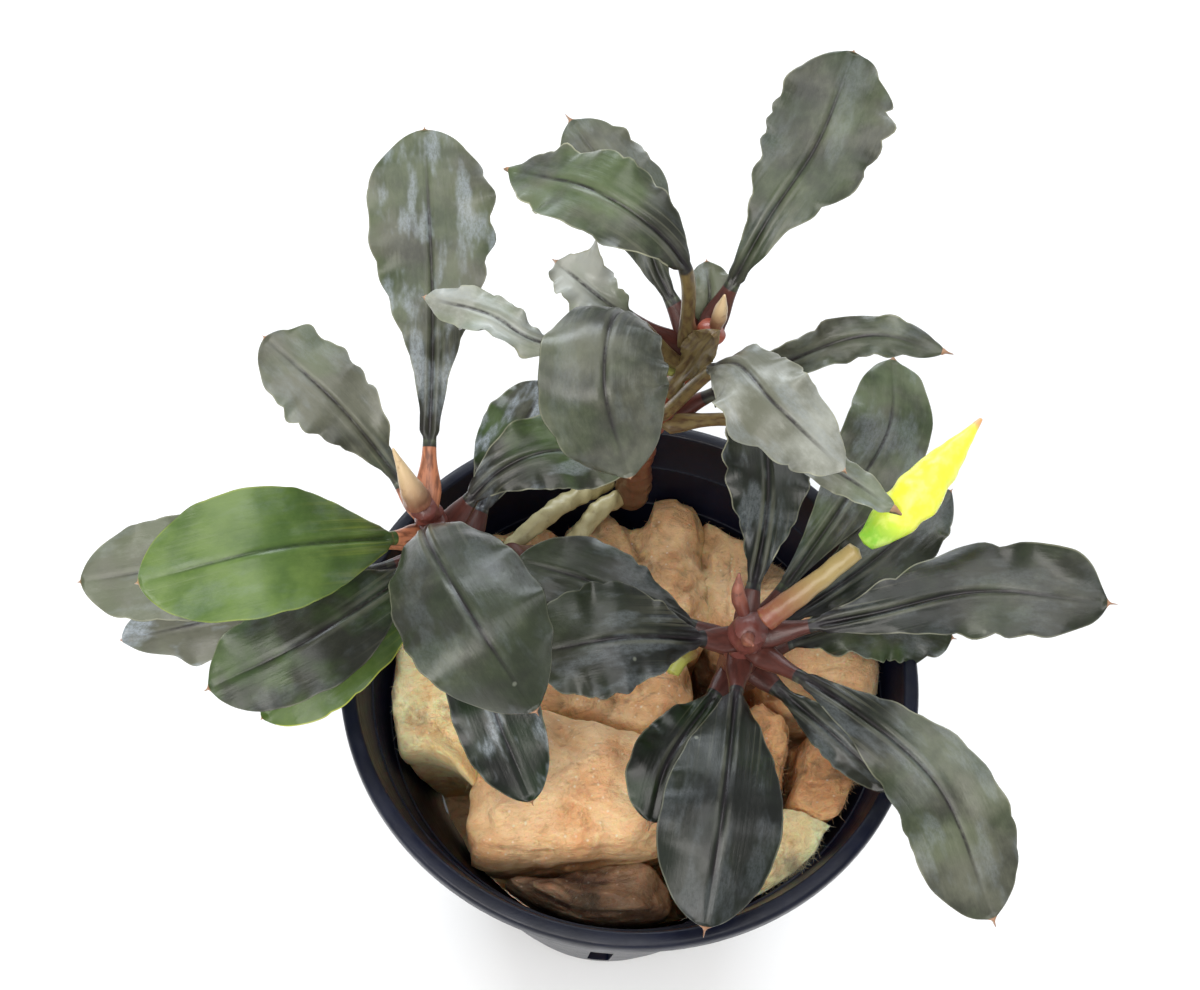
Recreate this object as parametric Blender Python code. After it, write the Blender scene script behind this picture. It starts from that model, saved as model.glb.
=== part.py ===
"""A bucephalandra with three leaf rosettes, rooted in torn stone wool in a small round pot.

The origin is the centre of the pot's underside, +Z is up and the viewer stands at -Y.
Sizes and points are millimetres, and every mesh is written in metres.
"""

import math

import bmesh
import bpy
import numpy as np
from mathutils import Matrix

MM = 0.001
GAP = 0.3

# Pot
POT_HEIGHT = 50.0
RIM_RADIUS = 27.5
LIP_WIDTH = 1.5
LIP_DROP = 1.6
LIP_OVERHANG = 0.6
BASE_RADIUS = 15.0
WALL = 1.0
FLOOR = 1.2
LEDGE_DEPTH = 0.3
LEDGE_HEIGHTS = (45.6, 40.8)
POT_SIDES = 36
SLOT_COUNT = 10
SLOT_WIDTH = 2.4
SLOT_BOTTOM = 6.0
SLOT_TOP = 24.0
DRAIN_COUNT = 5
DRAIN_RADIUS = 2.0
DRAIN_CIRCLE = 8.5

# Stone wool
BED_TOP = 27.0
BED_SIDES = 20
CHUNK_SIDES = 13
CHUNK_CORNER = 7.0
WALL_CLEARANCE = 0.5
STEM_CLEARANCE = 0.5
CHUNK_LEVELS = ((0.0, 0.90), (0.3, 0.99), (0.68, 0.98), (0.88, 0.90), (0.97, 0.66))

# Leaves
LEAF_RINGS = 11
LEAF_THICKNESS = 0.50
PETIOLE_RADIUS = 0.62
PETIOLE_SHARE = 0.12
BLADE_ONSET = 0.05
BLADE_FOOT = 0.26
BLADE_TIP_ROUND = 0.62
FIRST_RING = 0.04
LAST_RING = 0.97
RING_SPREAD = 0.92
RIM_SWING_LAG = 1.3
VIEWER_UP = (0.0, -0.4, 1.0)
LEAF_SECTION = ((-1, 0), (-0.6, 0.8), (0, 0.8), (0.6, 0.8), (1, 0), (0.6, -0.8), (0, -1.1), (-0.6, -0.8))

# Colours, as linear red, green and blue
BLACK_PLASTIC = (0.012, 0.012, 0.018)
WOOL_TAN = (0.56, 0.32, 0.13)
WOOL_PALE = (0.68, 0.47, 0.22)
DARK_LEAF = (0.030, 0.045, 0.033)
GREY_LEAF = (0.080, 0.105, 0.080)
GREEN_LEAF = (0.070, 0.180, 0.030)
RED_STEM = (0.33, 0.075, 0.045)
PINK_SHEATH = (0.52, 0.22, 0.14)
STALK_TAN = (0.42, 0.31, 0.11)
SPATHE_YELLOW = (0.78, 0.85, 0.10)
PALE_ROOT = (0.60, 0.52, 0.24)

# Each crown stem: its points from the wool to its tip, and its radius at the foot and at the tip
STEMS = {
    "left": (((-8.5, 13.0, 44.6), (-13.5, 9.6, 50.0), (-17.8, 7.2, 56.0), (-20.0, 6.3, 64.0)), 1.5, 1.2),
    "back": (((-1.0, 21.2, 44.9), (-0.8, 20.6, 56.0), (1.2, 19.9, 66.0), (4.2, 19.6, 76.0)), 1.7, 1.2),
    "front": (((10.8, 2.0, 44.6), (10.4, 0.9, 49.0), (9.9, -0.3, 55.0), (10.2, -0.9, 60.0)), 2.0, 1.5),
}


def leaf(stem, foot, points, width, **more):
    """A leaf's stem, the height of its foot on it, the points of its midrib to the tip, and its width."""
    shape = dict(widest=0.62, roll=0.0, twist=0.0, cup=0.06, waves=3.0, wave=0.35)
    shape.update(slim=1.25, taper=2.3, face=VIEWER_UP, colour=DARK_LEAF, petiole=PETIOLE_SHARE)
    shape.update(more)
    return dict(stem=stem, foot=foot, points=points, width=width, **shape)


LEAVES = {
    "left_leaf_1": leaf("left", 63.4, ((-21.0, 23.0, 71.0), (-23.3, 37.6, 79.0)), 11.6, widest=0.74,
                        waves=5.0, slim=2.4),
    "left_leaf_2": leaf("left", 62.0, ((-27.6, 12.4, 69.0), (-35.0, 16.8, 73.0)), 7.8, widest=0.66,
                        colour=GREY_LEAF, slim=2.0),
    "left_leaf_3": leaf("left", 60.8, ((-30.1, -3.4, 71.5), (-41.0, -7.5, 71.0)), 10.8, colour=GREEN_LEAF,
                        waves=1.0),
    "left_leaf_4": leaf("left", 58.8, ((-35.0, 1.6, 60.5), (-49.6, -2.2, 60.0)), 9.4, widest=0.72,
                        colour=GREY_LEAF),
    "left_leaf_5": leaf("left", 56.6, ((-33.6, -0.9, 56.0), (-47.2, -3.6, 52.0)), 7.0, roll=25.0, slim=1.6),
    "left_leaf_6": leaf("left", 57.4, ((-27.5, -6.9, 63.0), (-36.2, -11.3, 60.0)), 9.2),
    "left_leaf_7": leaf("left", 54.6, ((-25.9, -5.2, 56.5), (-32.8, -10.4, 52.5)), 7.4, colour=GREEN_LEAF),
    "left_leaf_8": leaf("left", 62.4, ((-18.2, -1.6, 72.0), (-12.9, -11.3, 76.5), (-7.9, -15.6, 71.0)), 11.6,
                        cup=-0.2),
    "left_leaf_9": leaf("left", 59.6, ((-13.6, 10.4, 64.5), (-8.6, 12.2, 66.0), (-1.6, 12.6, 65.0)), 7.4),
    "left_leaf_10": leaf("left", 54.0, ((-14.0, 16.5, 57.0), (-10.4, 25.4, 58.0)), 7.5),
    "left_leaf_11": leaf("left", 52.6, ((-13.0, -6.4, 56.0), (-8.0, -15.4, 50.8)), 7.8),
    "back_leaf_1": leaf("back", 75.4, ((7.8, 26.0, 83.0), (11.7, 32.2, 87.0), (14.2, 39.8, 90.5)), 10.4,
                        widest=0.72, slim=2.4),
    "back_leaf_2": leaf("back", 73.6, ((-0.8, 24.5, 77.0), (-3.6, 29.0, 80.4), (-9.8, 35.8, 83.4)), 7.6,
                        slim=2.0),
    "back_leaf_3": leaf("back", 74.6, ((0.6, 17.6, 87.2), (-6.2, 20.2, 91.2), (-14.2, 26.4, 86.4)), 7.8,
                        widest=0.5, taper=1.7, petiole=0.34),
    "back_leaf_4": leaf("back", 70.6, ((-10.0, 14.9, 78.0), (-14.9, 16.7, 79.0), (-20.8, 19.6, 77.0)), 4.2,
                        twist=50.0, petiole=0.42),
    "back_leaf_5": leaf("back", 72.4, ((-4.9, 20.6, 77.0), (-9.9, 24.0, 78.0)), 4.8, cup=0.5, petiole=0.38),
    "back_leaf_6": leaf("back", 71.6, ((-4.0, 12.6, 86.0), (-4.7, 4.5, 87.0), (-2.1, 1.1, 80.0)), 10.2,
                        cup=-0.15, petiole=0.3),
    "back_leaf_7": leaf("back", 65.2, ((5.2, 12.3, 81.0), (9.0, 6.2, 84.0), (14.8, 3.2, 80.4)), 7.4,
                        widest=0.5, cup=-0.1, petiole=0.42),
    "back_leaf_8": leaf("back", 63.0, ((12.0, 20.3, 72.0), (18.5, 21.0, 75.5), (24.9, 20.2, 75.0)), 4.0,
                        waves=4.0),
    "back_leaf_9": leaf("back", 71.4, ((3.8, 22.6, 76.0), (3.3, 25.6, 78.0)), 4.2),
    "back_leaf_10": leaf("back", 68.3, ((2.9, 17.3, 74.8), (4.3, 16.9, 79.1)), 3.2, cup=0.4, widest=0.8),
    "back_leaf_11": leaf("back", 62.4, ((8.3, 16.5, 67.0), (13.6, 8.4, 74.0), (20.4, 4.6, 73.0)), 3.8,
                         twist=40.0, petiole=0.45),
    "front_leaf_1": leaf("front", 56.6, ((11.3, 12.1, 61.0), (10.0, 22.3, 65.0)), 8.2, waves=4.0, slim=1.8),
    "front_leaf_2": leaf("front", 55.4, ((18.2, 13.0, 58.0), (23.0, 22.0, 59.5), (23.6, 30.4, 60.0)), 8.6,
                         widest=0.7, slim=2.0),
    "front_leaf_3": leaf("front", 53.4, ((22.0, 9.8, 55.0), (29.5, 17.4, 57.0)), 7.4, slim=1.6),
    "front_leaf_4": leaf("front", 58.0, ((20.7, 1.0, 61.0), (30.5, 3.2, 63.0), (41.2, 2.5, 64.0)), 8.2,
                         waves=4.0, wave=0.6, widest=0.7),
    "front_leaf_5": leaf("front", 51.2, ((22.4, 5.2, 51.8), (30.4, 4.4, 51.4)), 7.6, slim=1.5),
    "front_leaf_6": leaf("front", 57.0, ((19.8, -8.4, 60.0), (26.6, -14.8, 60.0), (32.0, -23.4, 54.0)), 9.2,
                         widest=0.7, slim=1.6),
    "front_leaf_7": leaf("front", 51.4, ((18.2, -6.3, 51.8), (24.4, -11.4, 51.0)), 4.2),
    "front_leaf_8": leaf("front", 56.0, ((8.2, -17.7, 61.0), (7.4, -27.1, 56.5)), 10.4, cup=-0.12, waves=1.0),
    "front_leaf_9": leaf("front", 50.6, ((4.1, -10.4, 51.5), (2.8, -15.9, 49.5)), 6.8),
    "front_leaf_10": leaf("front", 57.6, ((-1.0, -4.2, 62.5), (-9.2, -6.0, 61.0)), 10.0, slim=1.5),
    "front_leaf_11": leaf("front", 54.4, ((-3.5, 4.0, 56.5), (-11.5, 6.1, 56.0)), 7.6),
}

# Each bract, old stalk and bare strand: its points, its radii from foot to tip, and its colour
BARS = {
    "left_sheath": (((-20.4, 6.1, 65.3), (-20.9, 5.9, 68.0), (-22.4, 7.5, 71.2)),
                    (0.8, 1.2, 0.8, 0.1), PINK_SHEATH),
    "back_sheath": (((4.5, 19.3, 77.1), (4.6, 19.1, 79.0), (4.7, 19.0, 81.6)),
                    (0.6, 0.7, 0.5, 0.1), PINK_SHEATH),
    "front_sheath_1": (((9.3, -0.2, 61.4), (8.6, 0.6, 63.2), (8.4, 1.6, 65.2)),
                       (0.6, 0.7, 0.5, 0.1), RED_STEM),
    "front_sheath_2": (((9.9, -2.4, 61.2), (9.6, -3.6, 62.6), (9.9, -4.8, 64.2)),
                       (0.5, 0.6, 0.4, 0.1), RED_STEM),
    "old_stalk": (((5.6, -0.8, 54.2), (4.4, -1.6, 54.4), (3.6, -2.8, 53.8)),
                  (0.7, 0.9, 0.9), PALE_ROOT),
    "flower_stalk": (((11.2, -0.8, 61.6), (14.8, 1.3, 64.6), (18.3, 3.7, 67.2)),
                     (1.1, 0.95, 0.85), STALK_TAN),
    "runner_1": (((-3.0, 20.4, 47.2), (-4.7, 17.6, 46.6), (-6.4, 15.6, 46.0)),
                 (0.7, 0.8, 0.7), PALE_ROOT),
    "runner_2": (((-6.4, 19.4, 47.4), (-10.1, 15.8, 47.9), (-13.7, 12.6, 46.6)),
                 (0.7, 0.8, 0.6), PALE_ROOT),
}
SPATHE_POINTS = ((19.0, 4.3, 67.9), (22.4, 6.9, 71.0), (27.9, 13.6, 74.6))
SPATHE_RADII = (0.9, 1.8, 2.2, 1.7, 0.9, 0.15)

# Each wool chunk: the middle of its place in the pot, the height of its top, its pull on the borders
# with its neighbours, and its colour
CHUNKS = {
    "wool_back": ((1.4, 14.0), 44.2, 1.0, WOOL_TAN),
    "wool_back_right": ((15.0, 15.5), 43.4, 1.0, WOOL_TAN),
    "wool_left_back": ((-17.0, 11.0), 44.0, 1.0, WOOL_TAN),
    "wool_left": ((-20.2, -6.6), 45.5, 1.0, WOOL_PALE),
    "wool_front": ((-4.0, -12.5), 46.5, 1.5, WOOL_TAN),
    "wool_middle": ((-2.0, 0.5), 43.6, 1.0, WOOL_TAN),
    "wool_front_edge": ((-2.0, -22.6), 41.5, 0.7, WOOL_TAN),
    "wool_straw": ((16.5, -17.4), 46.0, 0.8, WOOL_PALE),
    "wool_right_middle": ((13.6, -7.4), 46.0, 1.0, WOOL_TAN),
    "wool_right": ((21.4, -8.8), 45.5, 1.0, WOOL_TAN),
    "wool_right_back": ((22.0, 4.0), 48.0, 1.0, WOOL_PALE),
}

# The places where no wool reaches the wall, as a middle and a radius: at the front left and the right
WOOL_GAPS = (((-20.3, -16.2), 5.8), ((21.3, -16.2), 2.0))


def material(name, colour, roughness):
    made = bpy.data.materials.new(name)
    made.use_nodes = True
    shader = made.node_tree.nodes["Principled BSDF"]
    shader.inputs["Base Color"].default_value = (*colour, 1.0)
    shader.inputs["Roughness"].default_value = roughness
    shader.inputs["Metallic"].default_value = 0.0
    made.diffuse_color = (*colour, 1.0)
    return made


def add_piece(name, points, faces, colour, roughness):
    """One named object with its own material, from points in millimetres."""
    mesh = bpy.data.meshes.new(name)
    mesh.from_pydata((np.asarray(points) * MM).tolist(), [], faces)
    form = bmesh.new()
    form.from_mesh(mesh)
    bmesh.ops.recalc_face_normals(form, faces=form.faces)
    form.to_mesh(mesh)
    form.free()
    mesh.shade_smooth()
    mesh.materials.append(material(name, colour, roughness))
    piece = bpy.data.objects.new(name, mesh)
    bpy.context.scene.collection.objects.link(piece)
    return piece


def unit(vector):
    return vector / np.linalg.norm(vector)


def smooth_curve(points, count):
    """Evenly spaced points along a Catmull-Rom curve through the given points."""
    knots = np.asarray(points, float)
    knots = np.vstack([2 * knots[0] - knots[1], knots, 2 * knots[-1] - knots[-2]])
    fine = []
    for a, b, c, d in zip(knots, knots[1:], knots[2:], knots[3:]):
        for t in np.linspace(0.0, 1.0, 24, endpoint=False):
            cubic = -a + 3 * b - 3 * c + d
            square = 2 * a - 5 * b + 4 * c - d
            fine.append(0.5 * (2 * b + (c - a) * t + square * t**2 + cubic * t**3))
    fine = np.array([*fine, knots[-2]])
    run = np.concatenate([[0.0], np.cumsum(np.linalg.norm(np.diff(fine, axis=0), axis=1))])
    even = np.linspace(0.0, run[-1], count)
    return np.stack([np.interp(even, run, fine[:, axis]) for axis in range(3)], 1)


def sample(line, at):
    """The point of a line at a place between its points."""
    return np.array([np.interp(at, range(len(line)), line[:, axis]) for axis in range(3)])


def tangents(line):
    steps = np.gradient(line, axis=0)
    return steps / np.linalg.norm(steps, axis=1)[:, None]


def carried_sides(line, face):
    """A side vector at each point of a line, square to it, turning as little as it can.

    It is set from the facing direction at the middle of the line, and carried both ways.
    """
    along = tangents(line)
    middle = len(line) * 3 // 5
    sides = np.zeros_like(line)
    sides[middle] = unit(np.cross(along[middle], np.asarray(face, float)))
    for step, stop in ((1, len(line)), (-1, -1)):
        for i in range(middle + step, stop, step):
            carried = sides[i - step] - along[i] * (sides[i - step] @ along[i])
            sides[i] = unit(carried)
    return along, sides


def skin(rings, start, end):
    """Points and faces of a closed body through rings of points, with a fan to a point at each end."""
    count = len(rings[0])
    points = [start, *np.concatenate(rings), end]
    faces = []
    for k in range(count):
        faces.append((0, 1 + (k + 1) % count, 1 + k))
    for r in range(len(rings) - 1):
        low = 1 + r * count
        for k in range(count):
            turn = (k + 1) % count
            faces.append((low + k, low + turn, low + count + turn, low + count + k))
    low = 1 + (len(rings) - 1) * count
    for k in range(count):
        faces.append((low + k, low + (k + 1) % count, len(points) - 1))
    return points, faces


def tube(points, radii, rings, sides=8):
    """A round bar along a smooth curve, its radius read from evenly spaced values."""
    line = smooth_curve(points, rings)
    along, across = carried_sides(line, (0.31, -0.87, 0.38))
    radius = np.interp(np.linspace(0, 1, rings), np.linspace(0, 1, len(radii)), radii)
    made = []
    for p, t, s, r in zip(line, along, across, radius):
        up = np.cross(s, t)
        turns = [math.tau * k / sides for k in range(sides)]
        made.append(np.array([p + r * (math.cos(a) * s + math.sin(a) * up) for a in turns]))
    return skin(made, line[0], line[-1] + along[-1] * radius[-1] * 0.4)


def stem_at(stem, height):
    """The middle and the radius of a crown stem at a height."""
    points, foot_radius, tip_radius = STEMS[stem]
    line = smooth_curve(points, 80)
    share = (height - line[0, 2]) / (line[-1, 2] - line[0, 2])
    middle = np.array([np.interp(height, line[:, 2], line[:, axis]) for axis in range(3)])
    return middle, foot_radius + (tip_radius - foot_radius) * share


def midrib(shape, count):
    """The midrib from the foot beside the stem to the tip."""
    middle, radius = stem_at(shape["stem"], shape["foot"])
    away = np.asarray(shape["points"][0]) - middle
    axis = unit(np.subtract(stem_at(shape["stem"], shape["foot"] + 0.5)[0], middle))
    away = unit(away - axis * (away @ axis))
    foot = middle + away * (radius + GAP + PETIOLE_RADIUS * 0.4)
    return smooth_curve((foot, *shape["points"]), count)


def blade_width(u, widest, slim, taper):
    """The blade's width along it, as a share of its greatest: a narrow foot, a long rise and a round tip."""
    if u > widest:
        return (1 - ((u - widest) / (1 - widest)) ** taper) ** BLADE_TIP_ROUND
    onset = min(1.0, u / BLADE_ONSET)
    rise = math.sin(0.5 * math.pi * u / widest) ** slim
    return onset * (BLADE_FOOT + (1 - BLADE_FOOT) * rise)


def leaf_body(shape):
    """A closed lens-shaped blade on a round petiole, along its midrib."""
    fine = 61
    line = midrib(shape, fine)
    along, sides = carried_sides(line, shape["face"])
    steps = [(k / (LEAF_RINGS - 2)) ** RING_SPREAD for k in range(LEAF_RINGS - 1)]
    blade = [0.5 * (1 - math.cos(math.pi * step)) for step in steps]
    blade = [FIRST_RING + (LAST_RING - FIRST_RING) * u for u in blade]
    start = shape["petiole"]
    shares = [0.0, *(start + (1 - start) * u for u in blade)]
    rings = []
    for share in shares:
        u = max(0.0, (share - start) / (1 - start))
        at = share * (fine - 1)
        p = sample(line, at)
        t = sample(along, at)
        s = sample(sides, at)
        turn = math.radians(shape["roll"] + shape["twist"] * (u - 0.6))
        s = unit(s - t * (s @ t))
        up = np.cross(s, t)
        s, up = s * math.cos(turn) + up * math.sin(turn), up * math.cos(turn) - s * math.sin(turn)
        blade_half = 0.5 * shape["width"] * blade_width(u, shape["widest"], shape["slim"], shape["taper"])
        half = max(PETIOLE_RADIUS * (1 - 0.5 * u), blade_half)
        spread = min(1.0, blade_half / (2 * PETIOLE_RADIUS))
        thick = PETIOLE_RADIUS + (0.5 * LEAF_THICKNESS - PETIOLE_RADIUS) * spread
        ring = []
        for x, z in LEAF_SECTION:
            edge = half / (0.5 * shape["width"])
            lag = RIM_SWING_LAG if x > 0 else 0.0
            swing = math.sin(math.tau * shape["waves"] * u + shape["phase"] + lag)
            lift = shape["cup"] * half * abs(x) ** 1.6 + shape["wave"] * swing * x * x * edge
            ring.append(p + s * x * half + up * (z * thick + lift * spread))
        rings.append(np.array(ring))
    return skin(rings, line[0], line[-1])


def add_leaves():
    for number, (name, shape) in enumerate(LEAVES.items()):
        points, faces = leaf_body(dict(shape, phase=1.7 * number))
        add_piece(name, points, faces, shape["colour"], 0.35)


def add_stems():
    for name, (points, foot_radius, tip_radius) in STEMS.items():
        body = tube(points, (foot_radius, tip_radius), 10)
        add_piece(name + "_stem", *body, RED_STEM, 0.5)


def pot_outer(height):
    """The outside radius of the pot's wall below the lip."""
    return BASE_RADIUS + (RIM_RADIUS - LIP_OVERHANG - BASE_RADIUS) * height / POT_HEIGHT


def pot_inner(height):
    """The inside radius of the pot's wall, which steps in at each ledge."""
    steps = sum(LEDGE_DEPTH for ledge in LEDGE_HEIGHTS if height < ledge)
    return pot_outer(height) - WALL - steps


def pot_profile():
    outside = [(0.0, 0.0), (BASE_RADIUS - 0.6, 0.0), (BASE_RADIUS, 0.6)]
    lip_foot = POT_HEIGHT - LIP_DROP
    outside += [(pot_outer(lip_foot), lip_foot), (RIM_RADIUS, lip_foot + 0.3)]
    outside += [(RIM_RADIUS, POT_HEIGHT - 0.35), (RIM_RADIUS - 0.35, POT_HEIGHT)]
    inside = [(RIM_RADIUS - LIP_WIDTH, POT_HEIGHT), (RIM_RADIUS - LIP_WIDTH, POT_HEIGHT - 1.0)]
    for ledge in LEDGE_HEIGHTS:
        inside += [(pot_inner(ledge + 0.01), ledge), (pot_inner(ledge - 0.01), ledge - 0.25)]
    inside += [(pot_inner(FLOOR), FLOOR), (0.0, FLOOR)]
    return outside + inside


def add_pot():
    form = bmesh.new()
    profile = [form.verts.new((r * MM, 0.0, z * MM)) for r, z in pot_profile()]
    edges = [form.edges.new(pair) for pair in zip(profile, profile[1:])]
    spin = dict(axis=(0, 0, 1), cent=(0, 0, 0), angle=math.tau, steps=POT_SIDES)
    bmesh.ops.spin(form, geom=profile + edges, use_merge=True, **spin)
    bmesh.ops.remove_doubles(form, verts=form.verts, dist=1e-6)
    bmesh.ops.recalc_face_normals(form, faces=form.faces)
    mesh = bpy.data.meshes.new("pot")
    form.to_mesh(mesh)
    form.free()
    mesh.shade_smooth()
    mesh.set_sharp_from_angle(angle=math.radians(35))
    mesh.materials.append(material("pot", BLACK_PLASTIC, 0.35))
    pot = bpy.data.objects.new("pot", mesh)
    bpy.context.scene.collection.objects.link(pot)
    cut = pot.modifiers.new("slots and drain holes", "BOOLEAN")
    cut.operation = "DIFFERENCE"
    cut.object = pot_cutter()


def pot_cutter():
    """Upright slots round the lower wall and round holes through the floor, as one hidden cutter."""
    form = bmesh.new()
    middle = (SLOT_BOTTOM + SLOT_TOP) / 2
    for k in range(SLOT_COUNT):
        turn = Matrix.Rotation(math.tau * (k + 0.5) / SLOT_COUNT, 4, "Z")
        place = Matrix.Translation((pot_outer(middle) * MM, 0, middle * MM))
        size = Matrix.Diagonal((7 * MM, SLOT_WIDTH * MM, (SLOT_TOP - SLOT_BOTTOM) * MM, 1))
        bmesh.ops.create_cube(form, size=1.0, matrix=turn @ place @ size)
    for k in range(DRAIN_COUNT):
        turn = Matrix.Rotation(math.tau * (k + 0.25) / DRAIN_COUNT, 4, "Z")
        place = turn @ Matrix.Translation((DRAIN_CIRCLE * MM, 0, 0))
        round_bar = dict(radius1=DRAIN_RADIUS * MM, radius2=DRAIN_RADIUS * MM, depth=6 * MM)
        bmesh.ops.create_cone(form, cap_ends=True, segments=10, matrix=place, **round_bar)
    mesh = bpy.data.meshes.new("pot_cutter")
    form.to_mesh(mesh)
    form.free()
    cutter = bpy.data.objects.new("pot_cutter", mesh)
    cutter.hide_render = True
    cutter.display_type = "WIRE"
    bpy.context.scene.collection.objects.link(cutter)
    return cutter


def add_wool_bed():
    """The wool packed in the lower part of the pot, under the torn chunks."""
    rings = []
    for height in (FLOOR + GAP, BED_TOP - 1.0, BED_TOP):
        radius = pot_inner(height) - WALL_CLEARANCE - (1.0 if height == BED_TOP else 0.0)
        turns = [math.tau * k / BED_SIDES for k in range(BED_SIDES)]
        rings.append(np.array([(radius * math.cos(a), radius * math.sin(a), height) for a in turns]))
    points, faces = skin(rings, (0, 0, FLOOR + GAP), (0, 0, BED_TOP))
    add_piece("wool_bed", points, faces, WOOL_TAN, 0.95)


def shrink(height):
    """How much narrower the pot is at a height than at its rim."""
    return pot_inner(height) / pot_inner(POT_HEIGHT)


def reach(name, angle, height):
    """How far a chunk goes from its middle in a direction, up to its neighbours, the wall, a stem or a gap."""
    ahead = np.array([math.cos(angle), math.sin(angle)])
    middle = np.array(CHUNKS[name][0]) * shrink(height)
    limits = []
    pull = CHUNKS[name][2]
    for other, _, other_pull, _ in CHUNKS.values():
        between = np.array(other) * shrink(height) - middle
        apart = np.linalg.norm(between)
        if apart > 0 and ahead @ between > 0:
            border = apart * pull / (pull + other_pull) - GAP / 2
            limits.append(border / (ahead @ between / apart))
    radius = pot_inner(height) - WALL_CLEARANCE
    along = ahead @ middle
    limits.append(-along + math.sqrt(along**2 - middle @ middle + radius**2))
    stems = [(points[0][:2], thick + STEM_CLEARANCE) for points, thick, _ in STEMS.values()]
    gaps = [(np.array(place) * shrink(height), radius) for place, radius in WOOL_GAPS]
    for place, wide in stems + gaps:
        to_place = np.subtract(place, middle)
        near = to_place @ ahead
        miss = abs(to_place @ (-ahead[1], ahead[0]))
        if near > 0 and miss < wide:
            limits.append(near - math.sqrt(wide**2 - miss**2))
    return sum(limit**-CHUNK_CORNER for limit in limits) ** (-1 / CHUNK_CORNER)


def add_wool_chunks():
    for name, (middle, top, _, colour) in CHUNKS.items():
        rng = np.random.default_rng(len(name) * 31 + int(top * 10))
        bottom = BED_TOP + GAP
        rings = []
        for rise, scale in CHUNK_LEVELS:
            height = bottom + (top - bottom) * rise
            ring = []
            for k in range(CHUNK_SIDES):
                angle = math.tau * k / CHUNK_SIDES
                far = reach(name, angle, height) * (scale - 0.07 * rng.random())
                lift = 0.9 * (rng.random() - 0.6) * rise**2
                ring.append((far * math.cos(angle), far * math.sin(angle), height + lift))
            rings.append(np.array(ring) + (*np.array(middle) * shrink(height), 0.0))
        start = (*np.array(middle) * shrink(bottom), bottom)
        end = (*np.array(middle) * shrink(top), top)
        points, faces = skin(rings, start, end)
        add_piece(name, points, faces, colour, 0.95)


def add_bars_and_spathe():
    for name, (points, radii, colour) in BARS.items():
        add_piece(name, *tube(points, radii, 6, 6), colour, 0.5)
    add_piece("spathe", *tube(SPATHE_POINTS, SPATHE_RADII, 10), SPATHE_YELLOW, 0.4)


def main():
    for old in list(bpy.data.objects):
        bpy.data.objects.remove(old)
    add_pot()
    add_wool_bed()
    add_wool_chunks()
    add_stems()
    add_leaves()
    add_bars_and_spathe()


main()
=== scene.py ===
"""The looks of a bucephalandra with three leaf rosettes, rooted in torn stone wool in a small black pot.

Points and sizes are millimetres in the frame's axes, as in the solids, and meshes are written in metres.
"""

import math

import bmesh
import bpy
import numpy as np
from mathutils import Matrix, Vector, noise


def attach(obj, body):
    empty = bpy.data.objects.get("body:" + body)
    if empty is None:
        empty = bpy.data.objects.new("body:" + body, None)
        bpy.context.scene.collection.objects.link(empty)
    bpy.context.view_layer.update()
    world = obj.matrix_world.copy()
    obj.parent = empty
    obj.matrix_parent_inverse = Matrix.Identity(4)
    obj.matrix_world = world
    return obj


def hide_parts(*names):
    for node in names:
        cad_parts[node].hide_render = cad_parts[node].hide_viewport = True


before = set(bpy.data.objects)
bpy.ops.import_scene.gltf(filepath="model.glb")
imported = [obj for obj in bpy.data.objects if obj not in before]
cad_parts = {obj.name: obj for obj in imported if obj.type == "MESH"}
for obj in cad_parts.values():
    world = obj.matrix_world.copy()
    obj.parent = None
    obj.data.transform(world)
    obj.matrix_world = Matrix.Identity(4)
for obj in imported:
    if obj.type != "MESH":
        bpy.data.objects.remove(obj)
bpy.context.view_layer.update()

MM = 0.001
GAP = 0.3  # clear space between neighbours

# The view, fitted to the rim of the pot in the photograph
IMAGE_WIDTH = 1200
FOCAL_PIXELS = 1571
CAMERA_PLACE = (-4.3, -66.3, 184.5)
CAMERA_TARGET = (-4.3, 17.9, 50)
CAMERA_ROLL = 5

# Pot
POT_HEIGHT = 50
RIM_RADIUS = 27.5
LIP_WIDTH = 1.5
LIP_DROP = 1.6
LIP_OVERHANG = 0.6
BASE_RADIUS = 15
BASE_HOLLOW = 0.35
WALL = 1
FLOOR = 1.2
LEDGE_DEPTH = 0.3
LEDGE_HEIGHTS = (45.6, 40.8)
POT_SIDES = 160
SLOT_COUNT = 10
SLOT_WIDTH = 2.4
SLOT_BOTTOM = 6
SLOT_TOP = 24
DRAIN_COUNT = 5
DRAIN_RADIUS = 2
DRAIN_CIRCLE = 8.5

# Stone wool
BED_TOP = 27
CHUNK_CORNER = 7
WALL_CLEARANCE = 0.5
USUAL_DRAW = 1.5
WALL_DRAW = {"wool_straw": 0.1, "wool_right": 0.1, "wool_right_back": 0.2, "wool_left": 0.8}
STEM_CLEARANCE = 0.5
CHUNK_PROFILE = ((0, 0.9), (0.3, 0.99), (0.66, 1), (0.85, 0.95), (0.95, 0.8), (0.99, 0.55), (1, 0))
SQUARE_CHUNKS = ("wool_straw", "wool_right")
USUAL_PRESS = 0.3
CHUNK_PRESS = {"wool_straw": 0, "wool_right": -0.4, "wool_right_middle": -0.2, "wool_left": 0}
SQUARE_PROFILE = ((0, 0.92), (0.4, 1), (0.94, 1), (0.985, 0.96), (1, 0.86), (1, 0.5), (1, 0))
CHUNK_ROWS = 60
CHUNK_SIDES = 110
SWELL_RATE = 0.12
LUMP_RATE = 0.26
TEAR_RATE = 0.13
TUFT_RATE = 1.1
LAYER_RISE = 0.86
LAYER_FALL = 0.14
FIBRES_A_CHUNK = 1700
BED_ROWS = 30
BED_SIDES = 90

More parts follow.
